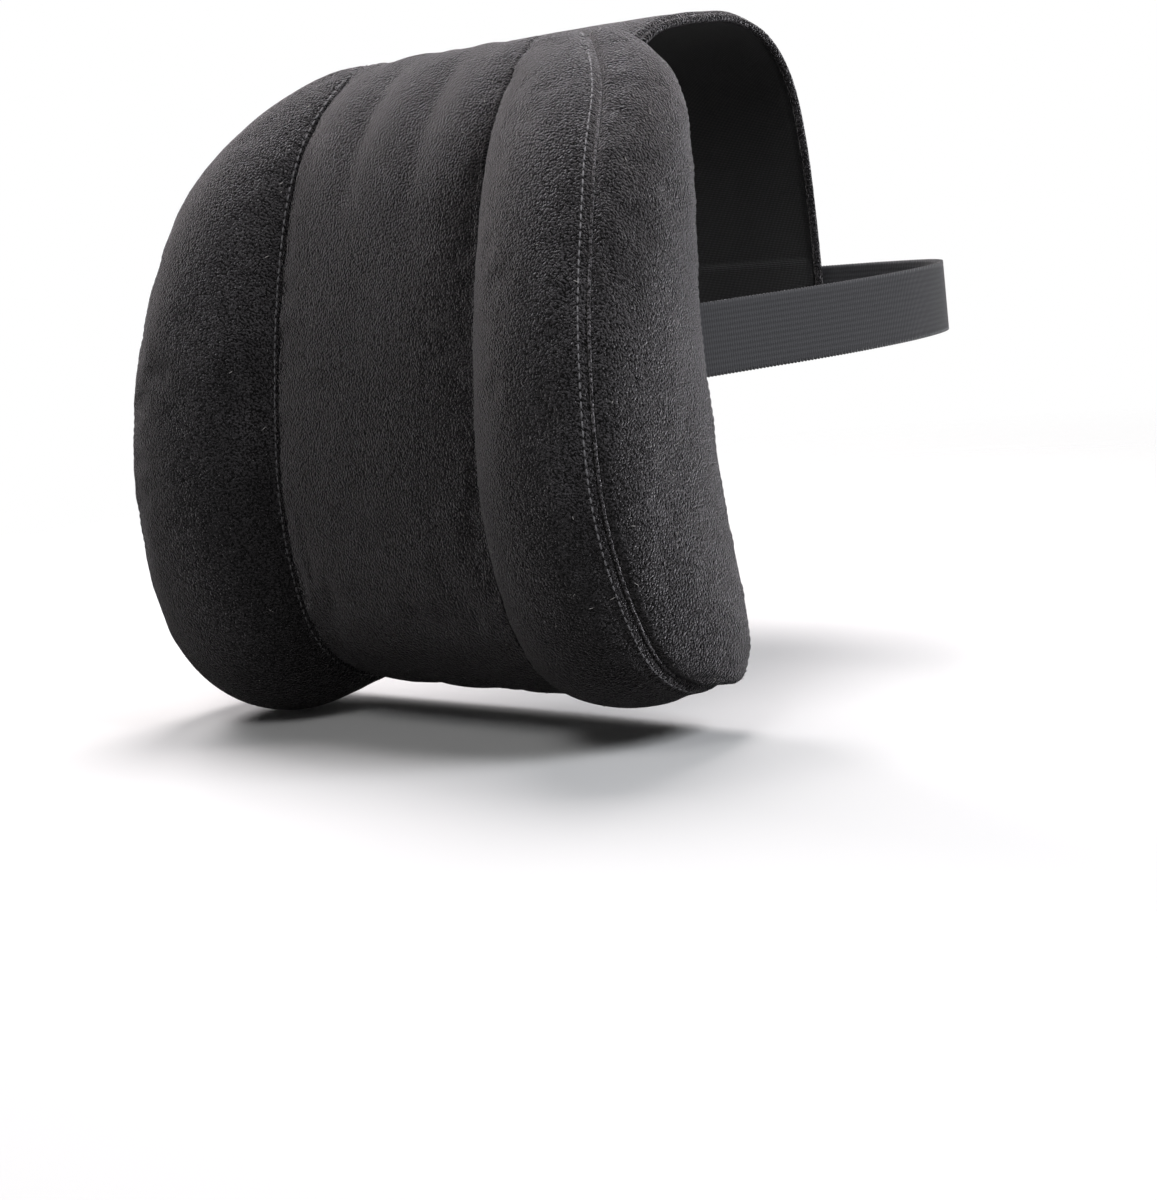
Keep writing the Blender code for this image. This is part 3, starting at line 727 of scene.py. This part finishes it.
def blown_up(cover):
    """How far a cloth simulation moves each part of the cover between its seams, when the filling presses on it."""
    strips = sewn_strips()
    joined, starts = None, {}
    for name, points in strips.items():
        starts[name] = 0 if joined is None else joined.shape[1] - 1
        joined = points if joined is None else np.concatenate([joined, points[:, 1:]], 1)
    rows, columns = joined.shape[:2]
    seams = list(starts.values()) + [columns - 1]
    noise.seed_set(1)
    for r in range(rows):
        for c in range(columns):
            if c not in seams and 0 < r < rows - 1:
                start = noise.noise_vector(Vector((r * 0.31, c * 0.37, 2.5)))
                joined[r, c] += np.array(start) * SIM_UNEVENNESS
    mesh, r, c = grid_and_spots("cover_draft", joined)
    draft = new_object("cover_draft", mesh)
    held = draft.vertex_groups.new(name="seams")
    sewn = np.isin(c, seams) | (r == 0) | (r == rows - 1)
    held.add([int(i) for i in np.flatnonzero(sewn)], 1.0, "REPLACE")
    cloth = draft.modifiers.new("cloth", "CLOTH")
    physics = cloth.settings
    physics.quality = 7
    physics.mass = 0.2
    physics.tension_stiffness = physics.compression_stiffness = 18
    physics.shear_stiffness = 6
    physics.bending_stiffness = cover.stiffness
    physics.shrink_min = -cover.fullness
    physics.vertex_group_mass = "seams"
    physics.use_pressure = True
    physics.uniform_pressure_force = cover.pressure
    physics.effector_weights.gravity = 0
    cloth.point_cache.frame_start = 1
    cloth.point_cache.frame_end = SIM_FRAMES
    for step in range(1, SIM_FRAMES + 1):
        bpy.context.scene.frame_set(step)
    shape = draft.evaluated_get(bpy.context.evaluated_depsgraph_get()).to_mesh()
    flat = np.empty(len(shape.vertices) * 3, np.float32)
    shape.vertices.foreach_get("co", flat)
    moved = np.zeros(joined.shape)
    moved[r, c] = flat.reshape(-1, 3) - joined[r, c]
    bpy.context.scene.frame_set(1)
    bpy.data.objects.remove(draft)
    if not np.isfinite(moved).all() or np.abs(moved).max() == 0:
        raise RuntimeError("the cover's cloth did not move")
    out = normals_of(joined)
    sunk = np.minimum((moved * out).sum(2, keepdims=True) + FOAM_GIVES, 0)
    moved -= sunk * out
    size = np.linalg.norm(moved, axis=2, keepdims=True) + 1e-12
    moved *= SIM_REACH * np.tanh(size / SIM_REACH) / size
    return {name: moved[:, starts[name]:starts[name] + points.shape[1]] for name, points in strips.items()}


def finer(field, places, shares):
    """A coarse field of movements, read at a finer grid's places and shares."""
    rows = along(field, places / LAST_STATION * (field.shape[0] - 1))
    columns = along(np.swapaxes(rows, 0, 1), shares * (field.shape[1] - 1))
    return np.swapaxes(columns, 0, 1)


FRONT_ROWS = 290
CENTRE_SHARES = bunched(60, 0.6)
SIDE_SHARES = bunched(44)
BACK_SHARES = bunched(60, 0.5)
END_CROWN = 0.0012  # of the strips that close the cover above and below the back
front_places = np.linspace(0, LAST_STATION, FRONT_ROWS)
layout = {}  # the grids of the cover's parts, which later pieces are sewn to


def from_ends(count, reach):
    """Over a count of steps, 0 at both ends and 1 from a reach inwards."""
    steps = np.arange(count)
    return np.clip(np.minimum(steps, steps[::-1]) / reach, 0, 1)


class PILLOW_OT_cover(bpy.types.Operator):
    """Sews the cover's front and side panels and its zipped back round the foam"""

    bl_idname = "pillow.cover"
    bl_label = "Cover"

    def execute(self, context):
        settings = context.scene.pillow_cover
        moved = blown_up(settings)
        forms = {"centre_panel": centre_form(front_places, CENTRE_SHARES, settings)}
        forms["centre_panel"] += finer(moved["centre_panel"], front_places, CENTRE_SHARES)
        for word, side in SIDES:
            for kind, form in (("wing_panel", wing_form), ("side_gusset", gusset_form)):
                name = f"{word}_{kind}"
                forms[name] = form(front_places, SIDE_SHARES, settings, side)
                forms[name] += finer(moved[name][:, ::int(side)], front_places, SIDE_SHARES)
        for node, points in forms.items():
            flip = node.startswith("left")
            obj = add_cloth(f"{node}_suede", points, CLOTH, suede(), node, flip)
        layout.update(forms)
        self.add_back(settings)
        return {"FINISHED"}

    def add_back(self, settings):
        knit = material_of("back_knit", knit_material, tuple(settings.back_color))
        top = place_at_height(ZIP_HEIGHT + ZIP_WINDOW / 2)
        bottom = place_at_height(ZIP_HEIGHT - ZIP_WINDOW / 2)
        upper = back_surface(np.linspace(0, top, 190), BACK_SHARES)
        lower = back_surface(np.linspace(bottom, LAST_STATION, 60), BACK_SHARES)
        upper = np.concatenate([self.end_strip(0.0, upper[0])[:-1], upper])
        lower = np.concatenate([lower, self.end_strip(LAST_STATION, lower[-1])[-2::-1]])
        self.slacken(upper, 3.1, zip_last=True)
        self.slacken(lower, 8.4, zip_last=False)
        layout["back_rows"] = (upper, lower)
        for name, points in (("back_panel_upper", upper), ("back_panel_lower", lower)):
            obj = add_cloth(f"{name}_cloth", points, CLOTH, knit, name)

    def slacken(self, points, seed, zip_last):
        """Soft waves in the flat back, and the rolled edge beside the zip."""
        rows, columns = points.shape[:2]
        step = np.linalg.norm(points[rows // 2, 0] - points[rows // 2 + 1, 0])
        from_zip = np.arange(rows)[::-1 if zip_last else 1] * step
        sides, ends = from_ends(columns, 6), from_ends(rows, 14)
        for r in range(rows):
            for c in range(columns):
                x, _, z = points[r, c]
                slack = noise.noise(Vector((x / 0.045, z / 0.02, seed)))
                slack += 0.5 * noise.noise(Vector((x / 0.012, z / 0.03, seed)))
                points[r, c, 1] += 0.0006 * (slack + 0.4) * sides[c] * ends[r]
        roll = 0.0005 * bump_at(from_zip, 0.0018, 0.0014) - 0.0004 * bump_at(from_zip, ZIP_STITCH_AT, 0.0009)
        points[:, :, 1] += roll[:, None]

    def end_strip(self, place, back):
        """A narrow strip from the front's end seam to the back, a little crowned."""
        t = np.linspace(0, 1, 9)[:, None, None]
        points = front_edge(place, BACK_SHARES)[None] * (1 - t) + back[None] * t
        return points + np.array((0, 0, np.sign(back[0, 2]) * END_CROWN)) * np.sin(np.pi * t)


FOAM_INSET = 0.0006


class PILLOW_OT_foam(bpy.types.Operator):
    """Fills the cover with its block of foam"""

    bl_idname = "pillow.foam"
    bl_label = "Foam"

    def execute(self, context):
        bm = bmesh.new()
        bm.from_mesh(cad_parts["foam_core"].data)
        bmesh.ops.remove_doubles(bm, verts=bm.verts, dist=0.00002)
        bm.normal_update()
        for v in bm.verts:
            v.co -= v.normal * FOAM_INSET
        foam = material_of("memory_foam", foam_material, (0.76, 0.73, 0.63))
        obj = add_piece("foam_block", new_mesh("foam_block", bm), foam, "foam_core")
        return {"FINISHED"}


def joined_beads(name, places):
    """One mesh of small rounded beads, one unit across, each moved, turned and stretched by a matrix."""
    bm = bmesh.new()
    bmesh.ops.create_uvsphere(bm, u_segments=8, v_segments=6, radius=0.5)
    bead = new_mesh("bead", bm)
    bm = bmesh.new()
    for place in places:
        bead.transform(place)
        bm.from_mesh(bead)
        bead.transform(place.inverted())
    bpy.data.meshes.remove(bead)
    return new_mesh(name, bm)


def standing(side, up, way, spot):
    """A matrix that turns X, Y and Z to three directions and moves to a spot."""
    return Matrix.Translation(spot) @ Matrix((side, up, way)).transposed().to_4x4()


def stitch_row(places, path, out):
    """Stitches along a path, each a short length of thread that dips into the cloth at both ends."""
    settings = bpy.context.scene.pillow_stitches
    lengths = lengths_along(path)
    size = Matrix.Diagonal((settings.thickness, settings.thickness * 0.8, STITCH_LENGTH, 1))
    for i in range(int(lengths[-1] / settings.pitch)):
        middle = (i + 0.5) * settings.pitch
        spot = Vector(read_at(middle, lengths, path))
        up = Vector(read_at(middle, lengths, out)).normalized()
        way = (Vector(read_at(middle + 0.001, lengths, path)) - spot).normalized()
        side = up.cross(way).normalized()
        up = way.cross(side)
        places.append(standing(side, up, way, spot + up * STITCH_LIFT) @ size)


def normals_of(points):
    across = np.gradient(points, axis=1)
    down = np.gradient(points, axis=0)
    return unit(np.cross(across, -down) + 1e-12)


def row_on(points, distance, turn=1, flip=False):
    """A line on a grid at a distance from its first edge, or its last with turn -1, and the way out of the cloth."""
    outs = normals_of(points) * (-1 if flip else 1)
    path, ways = [], []
    for row, way in zip(points[:, ::turn], outs[:, ::turn]):
        lengths = lengths_along(row)
        path.append(read_at(distance, lengths, row))
        ways.append(read_at(distance, lengths, way))
    return np.array(path), np.array(ways)


def add_welt(name, path, radius, material):
    """Adds a narrow roll of cloth that follows a path."""
    shares = np.linspace(0, 2 * np.pi, 11)
    run = unit(np.gradient(path, axis=0))
    first = unit(np.cross(run, np.array((0.31, 0.17, 0.93))))
    second = np.cross(run, first)
    ring = np.cos(shares)[None, :, None] * first[:, None] + np.sin(shares)[None, :, None] * second[:, None]
    t = np.linspace(0, 1, len(path))
    ends = np.sqrt(np.clip(t * (1 - t) * 400, 0, 1))
    lumps = 1 + 0.07 * np.array([noise.noise(Vector((i * 0.45, len(name), 0))) for i in range(len(path))])
    points = path[:, None] + ring * (radius * ends * lumps)[:, None, None]
    mesh = grid_mesh(name, points)
    bm = bmesh.new()
    bm.from_mesh(mesh)
    bmesh.ops.remove_doubles(bm, verts=bm.verts, dist=0.000001)
    bmesh.ops.recalc_face_normals(bm, faces=bm.faces)
    bm.to_mesh(mesh)
    bm.free()
    mesh.shade_smooth()
    add_piece(name, mesh, material)


class PILLOW_OT_welts(bpy.types.Operator):
    """Rolls the narrow welts of cloth that stand along the side seams and the back seams"""

    bl_idname = "pillow.welts"
    bl_label = "Welts"

    def execute(self, context):
        settings = context.scene.pillow_cover
        places = np.linspace(0.15, LAST_STATION - 0.02, 300)
        # The side welts get a suede 2.4 times lighter than the cover: a painted highlight for the lit rim along the
        # side seam.
        painted_highlight_color = tuple(channel * 2.4 for channel in settings.suede_color)
        for word, side in SIDES:
            gusset = layout[f"{word}_side_gusset"]
            outs = normals_of(gusset) * side
            first = read_at(places, front_places, gusset[:, 0])
            way = read_at(places, front_places, outs[:, 2])
            material = material_of("worn_suede", suede_material, painted_highlight_color)
            add_welt(f"{word}_side_welt", first + way * 0.0007, settings.welt_radius, material)
            path = along(BACK_SEAM, places) * np.array((side, 1, 1)) + np.array((side * 0.0002, 0.0001, 0.0))
            add_welt(f"{word}_back_welt", path, settings.welt_radius * 1.6, suede())
        return {"FINISHED"}


class PILLOW_OT_stitches(bpy.types.Operator):
    """Sews the rows of stitches beside the cover's seams"""

    bl_idname = "pillow.stitches"
    bl_label = "Cover stitches"

    def execute(self, context):
        for word, side in SIDES:
            places = []
            for kind, distance, turn, trim in (
                ("wing_panel", PANEL_STITCH_AT + 0.0004, 1, 6),
                ("wing_panel", SIDE_STITCH_AT + 0.0004, -1, 6),
                ("side_gusset", BACK_STITCH_AT, -1, 4),
            ):
                path, out = row_on(layout[f"{word}_{kind}"], distance, turn, flip=side < 0)
                stitch_row(places, path[trim:-trim], out[trim:-trim])
            name = f"{word}_cover_stitches"
            add_piece(name, joined_beads(name, places), thread())
        places = []
        for points, zip_last in zip(layout["back_rows"], (True, False)):
            step = np.linalg.norm(points[len(points) // 2, 0] - points[len(points) // 2 + 1, 0])
            row = int(round(ZIP_STITCH_AT / step))
            row = len(points) - 1 - row if zip_last else row
            stitch_row(places, points[row, 2:-2], normals_of(points)[row, 2:-2] * -1)
        add_piece("zip_stitches", joined_beads("zip_stitches", places), thread())
        return {"FINISHED"}


def flap_grid(shares, rows, heights, width):
    """The flap's points at shares of its half width, with a height for each over the middle of its layers."""
    places = np.linspace(0, len(FLAP_LINE) - 1, rows)
    line = along(FLAP_LINE, places)
    run = unit(heading(FLAP_LINE, places))
    y, z = line[:, :1], line[:, 1:]
    sag = FLAP_SAG * np.exp(-(((y - FLAP_SAG_AT) / FLAP_SAG_REACH) ** 2))
    free = 1 - np.exp(-(((y - FLAP_LINE[0, 0]) / (FLAP_SAG_REACH / 2)) ** 2))
    drop = (sag + FLAP_EDGE_DROP) * free * np.abs(shares)[None] ** 3 * np.maximum(run[:, :1], 0)
    return stacked(shares[None] * width, y - run[:, 1:] * heights, z + run[:, :1] * heights - drop)


class PILLOW_OT_lint(bpy.types.Operator):
    """Scatters a few fibres of lint over the suede, as suede carries once it is used"""

    bl_idname = "pillow.lint"
    bl_label = "Lint"

    def execute(self, context):
        rng = np.random.default_rng(11)
        panels = [name for name in layout if name != "back_rows"]
        places = []
        for _ in range(context.scene.pillow_cover.lint):
            name = panels[rng.integers(len(panels))]
            points = layout[name]
            r, c = rng.integers(10, points.shape[0] - 10), rng.integers(4, points.shape[1] - 4)
            around = normals_of(points[r - 1:r + 2, c - 1:c + 2])
            out = Vector(around[1, 1] * (-1 if name.startswith("left") else 1))
            way = Vector(rng.normal(size=3)).cross(out).normalized()
            place = standing(out, way.cross(out), way, Vector(points[r, c]) + out * 0.00012)
            places.append(place @ Matrix.Diagonal((0.00018, 0.00022, rng.uniform(0.0005, 0.0022), 1)))
        fibre = material_of("lint", thread_material, (0.55, 0.52, 0.5))
        add_piece("cover_lint", joined_beads("cover_lint", places), fibre)
        return {"FINISHED"}


FLAP_CLOTH = 0.0009
FLAP_SPREAD = 1.004  # the outermost share, a little past the edge
FLAP_LIFT = 0.00135  # of the top over the middle of the layers
FLAP_FOOT = -0.0011  # of its rolled edge
HEM_RADIUS = 0.0016
HEM_STITCH_AT = 0.004


def rounded(distance):
    """The profile of a rolled edge: 0 at the edge and 1 from the hem's radius inwards."""
    return np.sqrt(np.clip(1 - (1 - np.clip(distance / HEM_RADIUS, 0, 1)) ** 2, 0, 1))


class PILLOW_OT_flap(bpy.types.Operator):
    """Lays the lined flap over the headrest, with its edge stitching and the tunnel for the band"""

    bl_idname = "pillow.flap"
    bl_label = "Flap"

    def execute(self, context):
        width = context.scene.pillow_straps.flap_half_width
        rows = 300
        shares = (bunched(56, 0.75) * 2 - 1) * FLAP_SPREAD
        edge = (1 - np.abs(shares) / FLAP_SPREAD) * width
        line = along(FLAP_LINE, np.linspace(0, len(FLAP_LINE) - 1, rows))
        away = np.abs(line[:, 1] - BAND_HEIGHT) - BAND_WIDTH / 2
        tunnel = (1 - smooth_step(TUNNEL_MARGIN / 4, TUNNEL_MARGIN, away)) * (line[:, 0] > 0.07)
        room = BAND_THICKNESS / 2 + 0.0004
        lengths = lengths_along(line)
        rolled = np.minimum(rounded(edge)[None], rounded(lengths[-1] - lengths)[:, None])
        soft = 0.0005 * bump_at(edge, 0.0021, 0.0012)[None]
        groove = 0.0006 * bump_at(edge, HEM_STITCH_AT, 0.0009)[None]
        quilt = np.array([
            [0.00035 * noise.noise(Vector((x * width / 0.016, s / 0.022, 4.2))) for x in shares] for s in lengths
        ])
        height = FLAP_LIFT + tunnel[:, None] * room + soft - groove + quilt
        height = FLAP_FOOT + (height - FLAP_FOOT) * rolled
        top = flap_grid(shares, rows, height, width)
        obj = add_cloth("top_flap_suede", top, FLAP_CLOTH, suede(), "top_flap")
        # The hems get a suede at 0.55 of the cover's colour: partly the black lining's own colour at the rolled edge,
        # partly painted shade of the flap's shadowed edge.
        hem = tuple(channel * 0.55 for channel in context.scene.pillow_cover.suede_color)
        for (word, side), column in zip(SIDES, (0, -1)):
            path = top[6:-2, column] + np.array((side * 0.0004, 0.0, 0.0))
            add_welt(f"{word}_flap_hem", path, HEM_RADIUS, material_of("hem_suede", suede_material, hem))
        inner_shares = np.linspace(-0.975, 0.975, 30)
        under = -0.0002 - tunnel[:, None] * room + 0 * inner_shares[None]
        lining = flap_grid(inner_shares, rows, under, width)[:-3]
        cloth = material_of("lining_knit", knit_material, (0.02, 0.02, 0.021), 0.0007)
        obj = add_cloth("flap_lining_cloth", lining, FLAP_CLOTH, cloth, "flap_lining")
        self.sew(top, line)
        return {"FINISHED"}

    def sew(self, top, line):
        places = []
        for turn in (1, -1):
            path, out = row_on(top, HEM_STITCH_AT + 0.0012, turn, flip=True)
            stitch_row(places, path[4:-4], out[4:-4])
        outs = normals_of(top) * -1
        for offset in (BAND_WIDTH / 2 + 0.003, -BAND_WIDTH / 2 - 0.003):
            behind = np.where(line[:, 0] > 0.07, np.abs(line[:, 1] - BAND_HEIGHT - offset), 1.0)
            row = int(np.argmin(behind))
            stitch_row(places, top[row, 8:-8], outs[row, 8:-8])
        add_piece("flap_stitches", joined_beads("flap_stitches", places), thread())


class PILLOW_OT_band(bpy.types.Operator):
    """Runs the elastic band from seam to seam round the headrest"""

    bl_idname = "pillow.band"
    bl_label = "Elastic band"

    def execute(self, context):
        settings = context.scene.pillow_straps
        edge = along(BACK_SEAM, place_at_height(BAND_HEIGHT))[0]
        half = BAND_LINE + np.array((edge[0], 0))
        stations = np.concatenate([half, half[-2::-1] * np.array((-1, 1))])
        steps, rows = 1500, 15
        rows, steps = 15, 1500
        line = along(stations, np.linspace(0, len(stations) - 1, 4000))
        lengths = lengths_along(line)
        share = np.linspace(-1, 1, rows)
        x, y = read_at(np.linspace(0, lengths[-1], steps), lengths, line).T
        loops = 0.00012 * np.sign(np.sin(2 * np.pi * np.arange(steps) / 4 + 0.5))
        reach = BAND_WIDTH / 2 + loops[None] * (np.abs(share) > 0.99)[:, None]
        points = stacked(x[None], y[None], BAND_HEIGHT - share[:, None] * reach)
        cloth = material_of("elastic", elastic_material, tuple(settings.band_color), settings.band_ribs, BAND_WIDTH)
        name = "elastic_band_cloth"
        obj = add_cloth(name, points, BAND_THICKNESS, cloth, "elastic_band", flip=False, offset=0.0)
        return {"FINISHED"}


class PILLOW_OT_zip(bpy.types.Operator):
    """Sets the zip's tapes, coils, slider and pull in the back"""

    bl_idname = "pillow.zip"
    bl_label = "Zip"

    def execute(self, context):
        settings = context.scene.pillow_zip
        tape = material_of("zip_tape", knit_material, (0.018, 0.018, 0.019), 0.0005)
        nylon = material_of("zip_nylon", nylon_material, (0.014, 0.014, 0.015))
        metal = material_of("zip_lacquer", lacquer_material, tuple(settings.metal_color))
        for word in ("upper", "lower"):
            low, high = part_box(f"zip_tape_{word}")
            self.add_tape(word, low, high, tape)
            low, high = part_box(f"zip_coil_{word}")
            self.add_coil(word, low, high, nylon, settings.tooth_pitch)
        for node in ("zip_slider", "zip_pull"):
            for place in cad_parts[node].material_slots:
                place.material = metal
        return {"FINISHED"}

    def add_tape(self, word, low, high, tape):
        x, z = np.linspace(low.x, high.x, 140), np.linspace(high.z, low.z, 9)
        points = stacked(x[None], high.y - 0.0001, z[:, None])
        thickness = high.y - low.y - 0.0002
        obj = add_cloth(f"zip_tape_{word}_cloth", points, thickness, tape, f"zip_tape_{word}")

    def add_coil(self, word, low, high, nylon, pitch):
        """One coil: a wire that winds along the tape's edge, as flattened turns."""
        name = f"zip_coil_{word}_turns"
        middle = (low + high) / 2
        wire = 0.0003
        tall = (high.z - low.z) / 2 - wire
        deep = (high.y - low.y) / 2 - wire
        curve = bpy.data.curves.new(name, "CURVE")
        curve.dimensions = "3D"
        curve.bevel_depth = wire
        curve.bevel_resolution = 1
        curve.use_fill_caps = True
        spline = curve.splines.new("POLY")
        steps = int((high.x - low.x) / pitch) * 10
        spline.points.add(steps)
        for i in range(steps + 1):
            angle = 2 * math.pi * i / 10
            x = low.x + wire + (high.x - low.x - 2 * wire) * i / steps
            spline.points[i].co = (x, middle.y + deep * math.sin(angle), middle.z + tall * math.cos(angle), 1)
        draft = new_object("coil", curve)
        bpy.context.view_layer.update()
        mesh = bpy.data.meshes.new_from_object(draft.evaluated_get(bpy.context.evaluated_depsgraph_get()))
        bpy.data.objects.remove(draft)
        mesh.name = name
        mesh.shade_smooth()
        add_piece(name, mesh, nylon, f"zip_coil_{word}")


LIT_POINT = Vector((0.0, -0.01, 0.0))
CAMERA_PLACE = (0.6457, -0.6266, 0.0736)
CAMERA_TURNS = (44.1, 10.2, -6.8)  # azimuth, elevation and roll, in degrees
FLOOR_GAP = 0.0008


class PILLOW_OT_stage(bpy.types.Operator):
    """Sets up the camera, the softboxes and the pale floor"""

    bl_idname = "pillow.stage"
    bl_label = "Stage"

    def execute(self, context):
        settings = context.scene.pillow_stage
        self.add_camera(context)
        self.add_floor(settings)
        self.add_world(context)
        for name, place, size, power, color in (
            ("key", (-0.15, 0.28, 1.1), 0.55, settings.key_power, (1.0, 0.95, 0.95)),
            ("side", (0.95, 0.05, 0.6), 0.4, settings.side_power, (0.94, 0.96, 1.0)),
            ("front", (0.25, -0.88, 1.32), 0.6, 5.0, (1.0, 1.0, 1.0)),
            ("rim", (-0.95, 0.25, 0.6), 0.5, settings.rim_power, (1.0, 0.96, 0.97)),
        ):
            self.add_softbox(f"{name}_softbox", Vector(place), size, power, color)
        context.scene.view_settings.view_transform = "Standard"
        return {"FINISHED"}

    def add_camera(self, context):
        azimuth, elevation, roll = (math.radians(x) for x in CAMERA_TURNS)
        turn = Matrix.Rotation(azimuth, 4, "Z") @ Matrix.Rotation(math.pi / 2 - elevation, 4, "X")
        data = bpy.data.cameras.new("camera")
        data.sensor_width = 36
        data.lens = 72
        data.clip_start = 0.05
        camera = new_object("camera", data)
        camera.matrix_world = Matrix.Translation(CAMERA_PLACE) @ turn @ Matrix.Rotation(roll, 4, "Z")
        context.scene.camera = camera

    def add_floor(self, settings):
        """A disc under the pillow that fades to clear, and throws little light back up."""
        bm = bmesh.new()
        bmesh.ops.create_circle(bm, cap_ends=True, segments=96, radius=3.0)
        bmesh.ops.translate(bm, verts=bm.verts, vec=(0, 0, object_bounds()[0].z - FLOOR_GAP))
        mesh = new_mesh("floor", bm)
        color = tuple(settings.floor_color)
        material, tree, shader, where = new_material("floor", color, 0.9, Specular_IOR_Level=0.1)
        away = tree.nodes.new("ShaderNodeVectorMath")
        away.operation = "LENGTH"
        tree.links.new(where, away.inputs[0])
        clear = tree.nodes.new("ShaderNodeBsdfTransparent")
        dim = add_node(tree, "ShaderNodeBsdfDiffuse", Color=(0.08, 0.08, 0.08, 1))
        rays = tree.nodes.new("ShaderNodeLightPath").outputs
        disc = mixed(tree, rays["Is Diffuse Ray"], shader.outputs["BSDF"], dim.outputs["BSDF"])
        faded = mixed(tree, ranged(tree, away.outputs["Value"], 0.2, 0.8, 0, 1), disc, clear.outputs["BSDF"])
        tree.links.new(faded, tree.nodes["Material Output"].inputs["Surface"])
        mesh.materials.append(material)
        new_object("floor", mesh)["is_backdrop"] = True

    def add_world(self, context):
        """A dim room that the camera, reflections and clear things see as white."""
        world = bpy.data.worlds.new("studio")
        world.use_nodes = True
        tree = world.node_tree
        dim = set_inputs(tree.nodes["Background"], Color=(1, 1, 1, 1), Strength=0.04)
        white = add_node(tree, "ShaderNodeBackground", Color=(1, 1, 1, 1))
        rays = tree.nodes.new("ShaderNodeLightPath").outputs
        seen = rays["Is Camera Ray"]
        for kind in ("Glossy", "Transmission"):
            seen = combined(tree, seen, rays[f"Is {kind} Ray"], "MAXIMUM")
        both = mixed(tree, seen, dim.outputs["Background"], white.outputs["Background"])
        tree.links.new(both, tree.nodes["World Output"].inputs["Surface"])
        context.scene.world = world

    def add_softbox(self, name, place, size, power, color):
        data = bpy.data.lights.new(name, "AREA")
        data.shape = "SQUARE"
        data.size = size
        data.energy = power
        data.color = color
        turn = (LIT_POINT - place).to_track_quat("-Z", "Y").to_matrix().to_4x4()
        new_object(name, data).matrix_world = Matrix.Translation(place) @ turn


STEPS = (
    PILLOW_OT_cover,
    PILLOW_OT_foam,
    PILLOW_OT_welts,
    PILLOW_OT_stitches,
    PILLOW_OT_lint,
    PILLOW_OT_flap,
    PILLOW_OT_band,
    PILLOW_OT_zip,
    PILLOW_OT_stage,
)
SETTINGS = {
    "pillow_cover": CoverSettings,
    "pillow_stitches": StitchSettings,
    "pillow_straps": StrapSettings,
    "pillow_zip": ZipSettings,
    "pillow_stage": StageSettings,
}


class VIEW3D_PT_neck_pillow(bpy.types.Panel):
    """Lists the pillow's sizes, colours and building steps"""

    bl_label = "Neck pillow"
    bl_space_type = "VIEW_3D"
    bl_region_type = "UI"
    bl_category = "Neck pillow"

    def draw(self, context):
        for name, kind in SETTINGS.items():
            box = self.layout.box()
            for field in kind.__annotations__:
                box.prop(getattr(context.scene, name), field)
        for step in STEPS:
            self.layout.operator(step.bl_idname)


def register():
    for kind in SETTINGS.values():
        bpy.utils.register_class(kind)
    for name, kind in SETTINGS.items():
        setattr(bpy.types.Scene, name, PointerProperty(type=kind))
    for step in STEPS:
        bpy.utils.register_class(step)
    bpy.utils.register_class(VIEW3D_PT_neck_pillow)


def unregister():
    bpy.utils.unregister_class(VIEW3D_PT_neck_pillow)
    for step in reversed(STEPS):
        bpy.utils.unregister_class(step)
    for name, kind in SETTINGS.items():
        delattr(bpy.types.Scene, name)
        bpy.utils.unregister_class(kind)


def main():
    register()
    for step in STEPS:
        group, name = step.bl_idname.split(".")
        getattr(getattr(bpy.ops, group), name)()


if __name__ == "__main__":
    main()
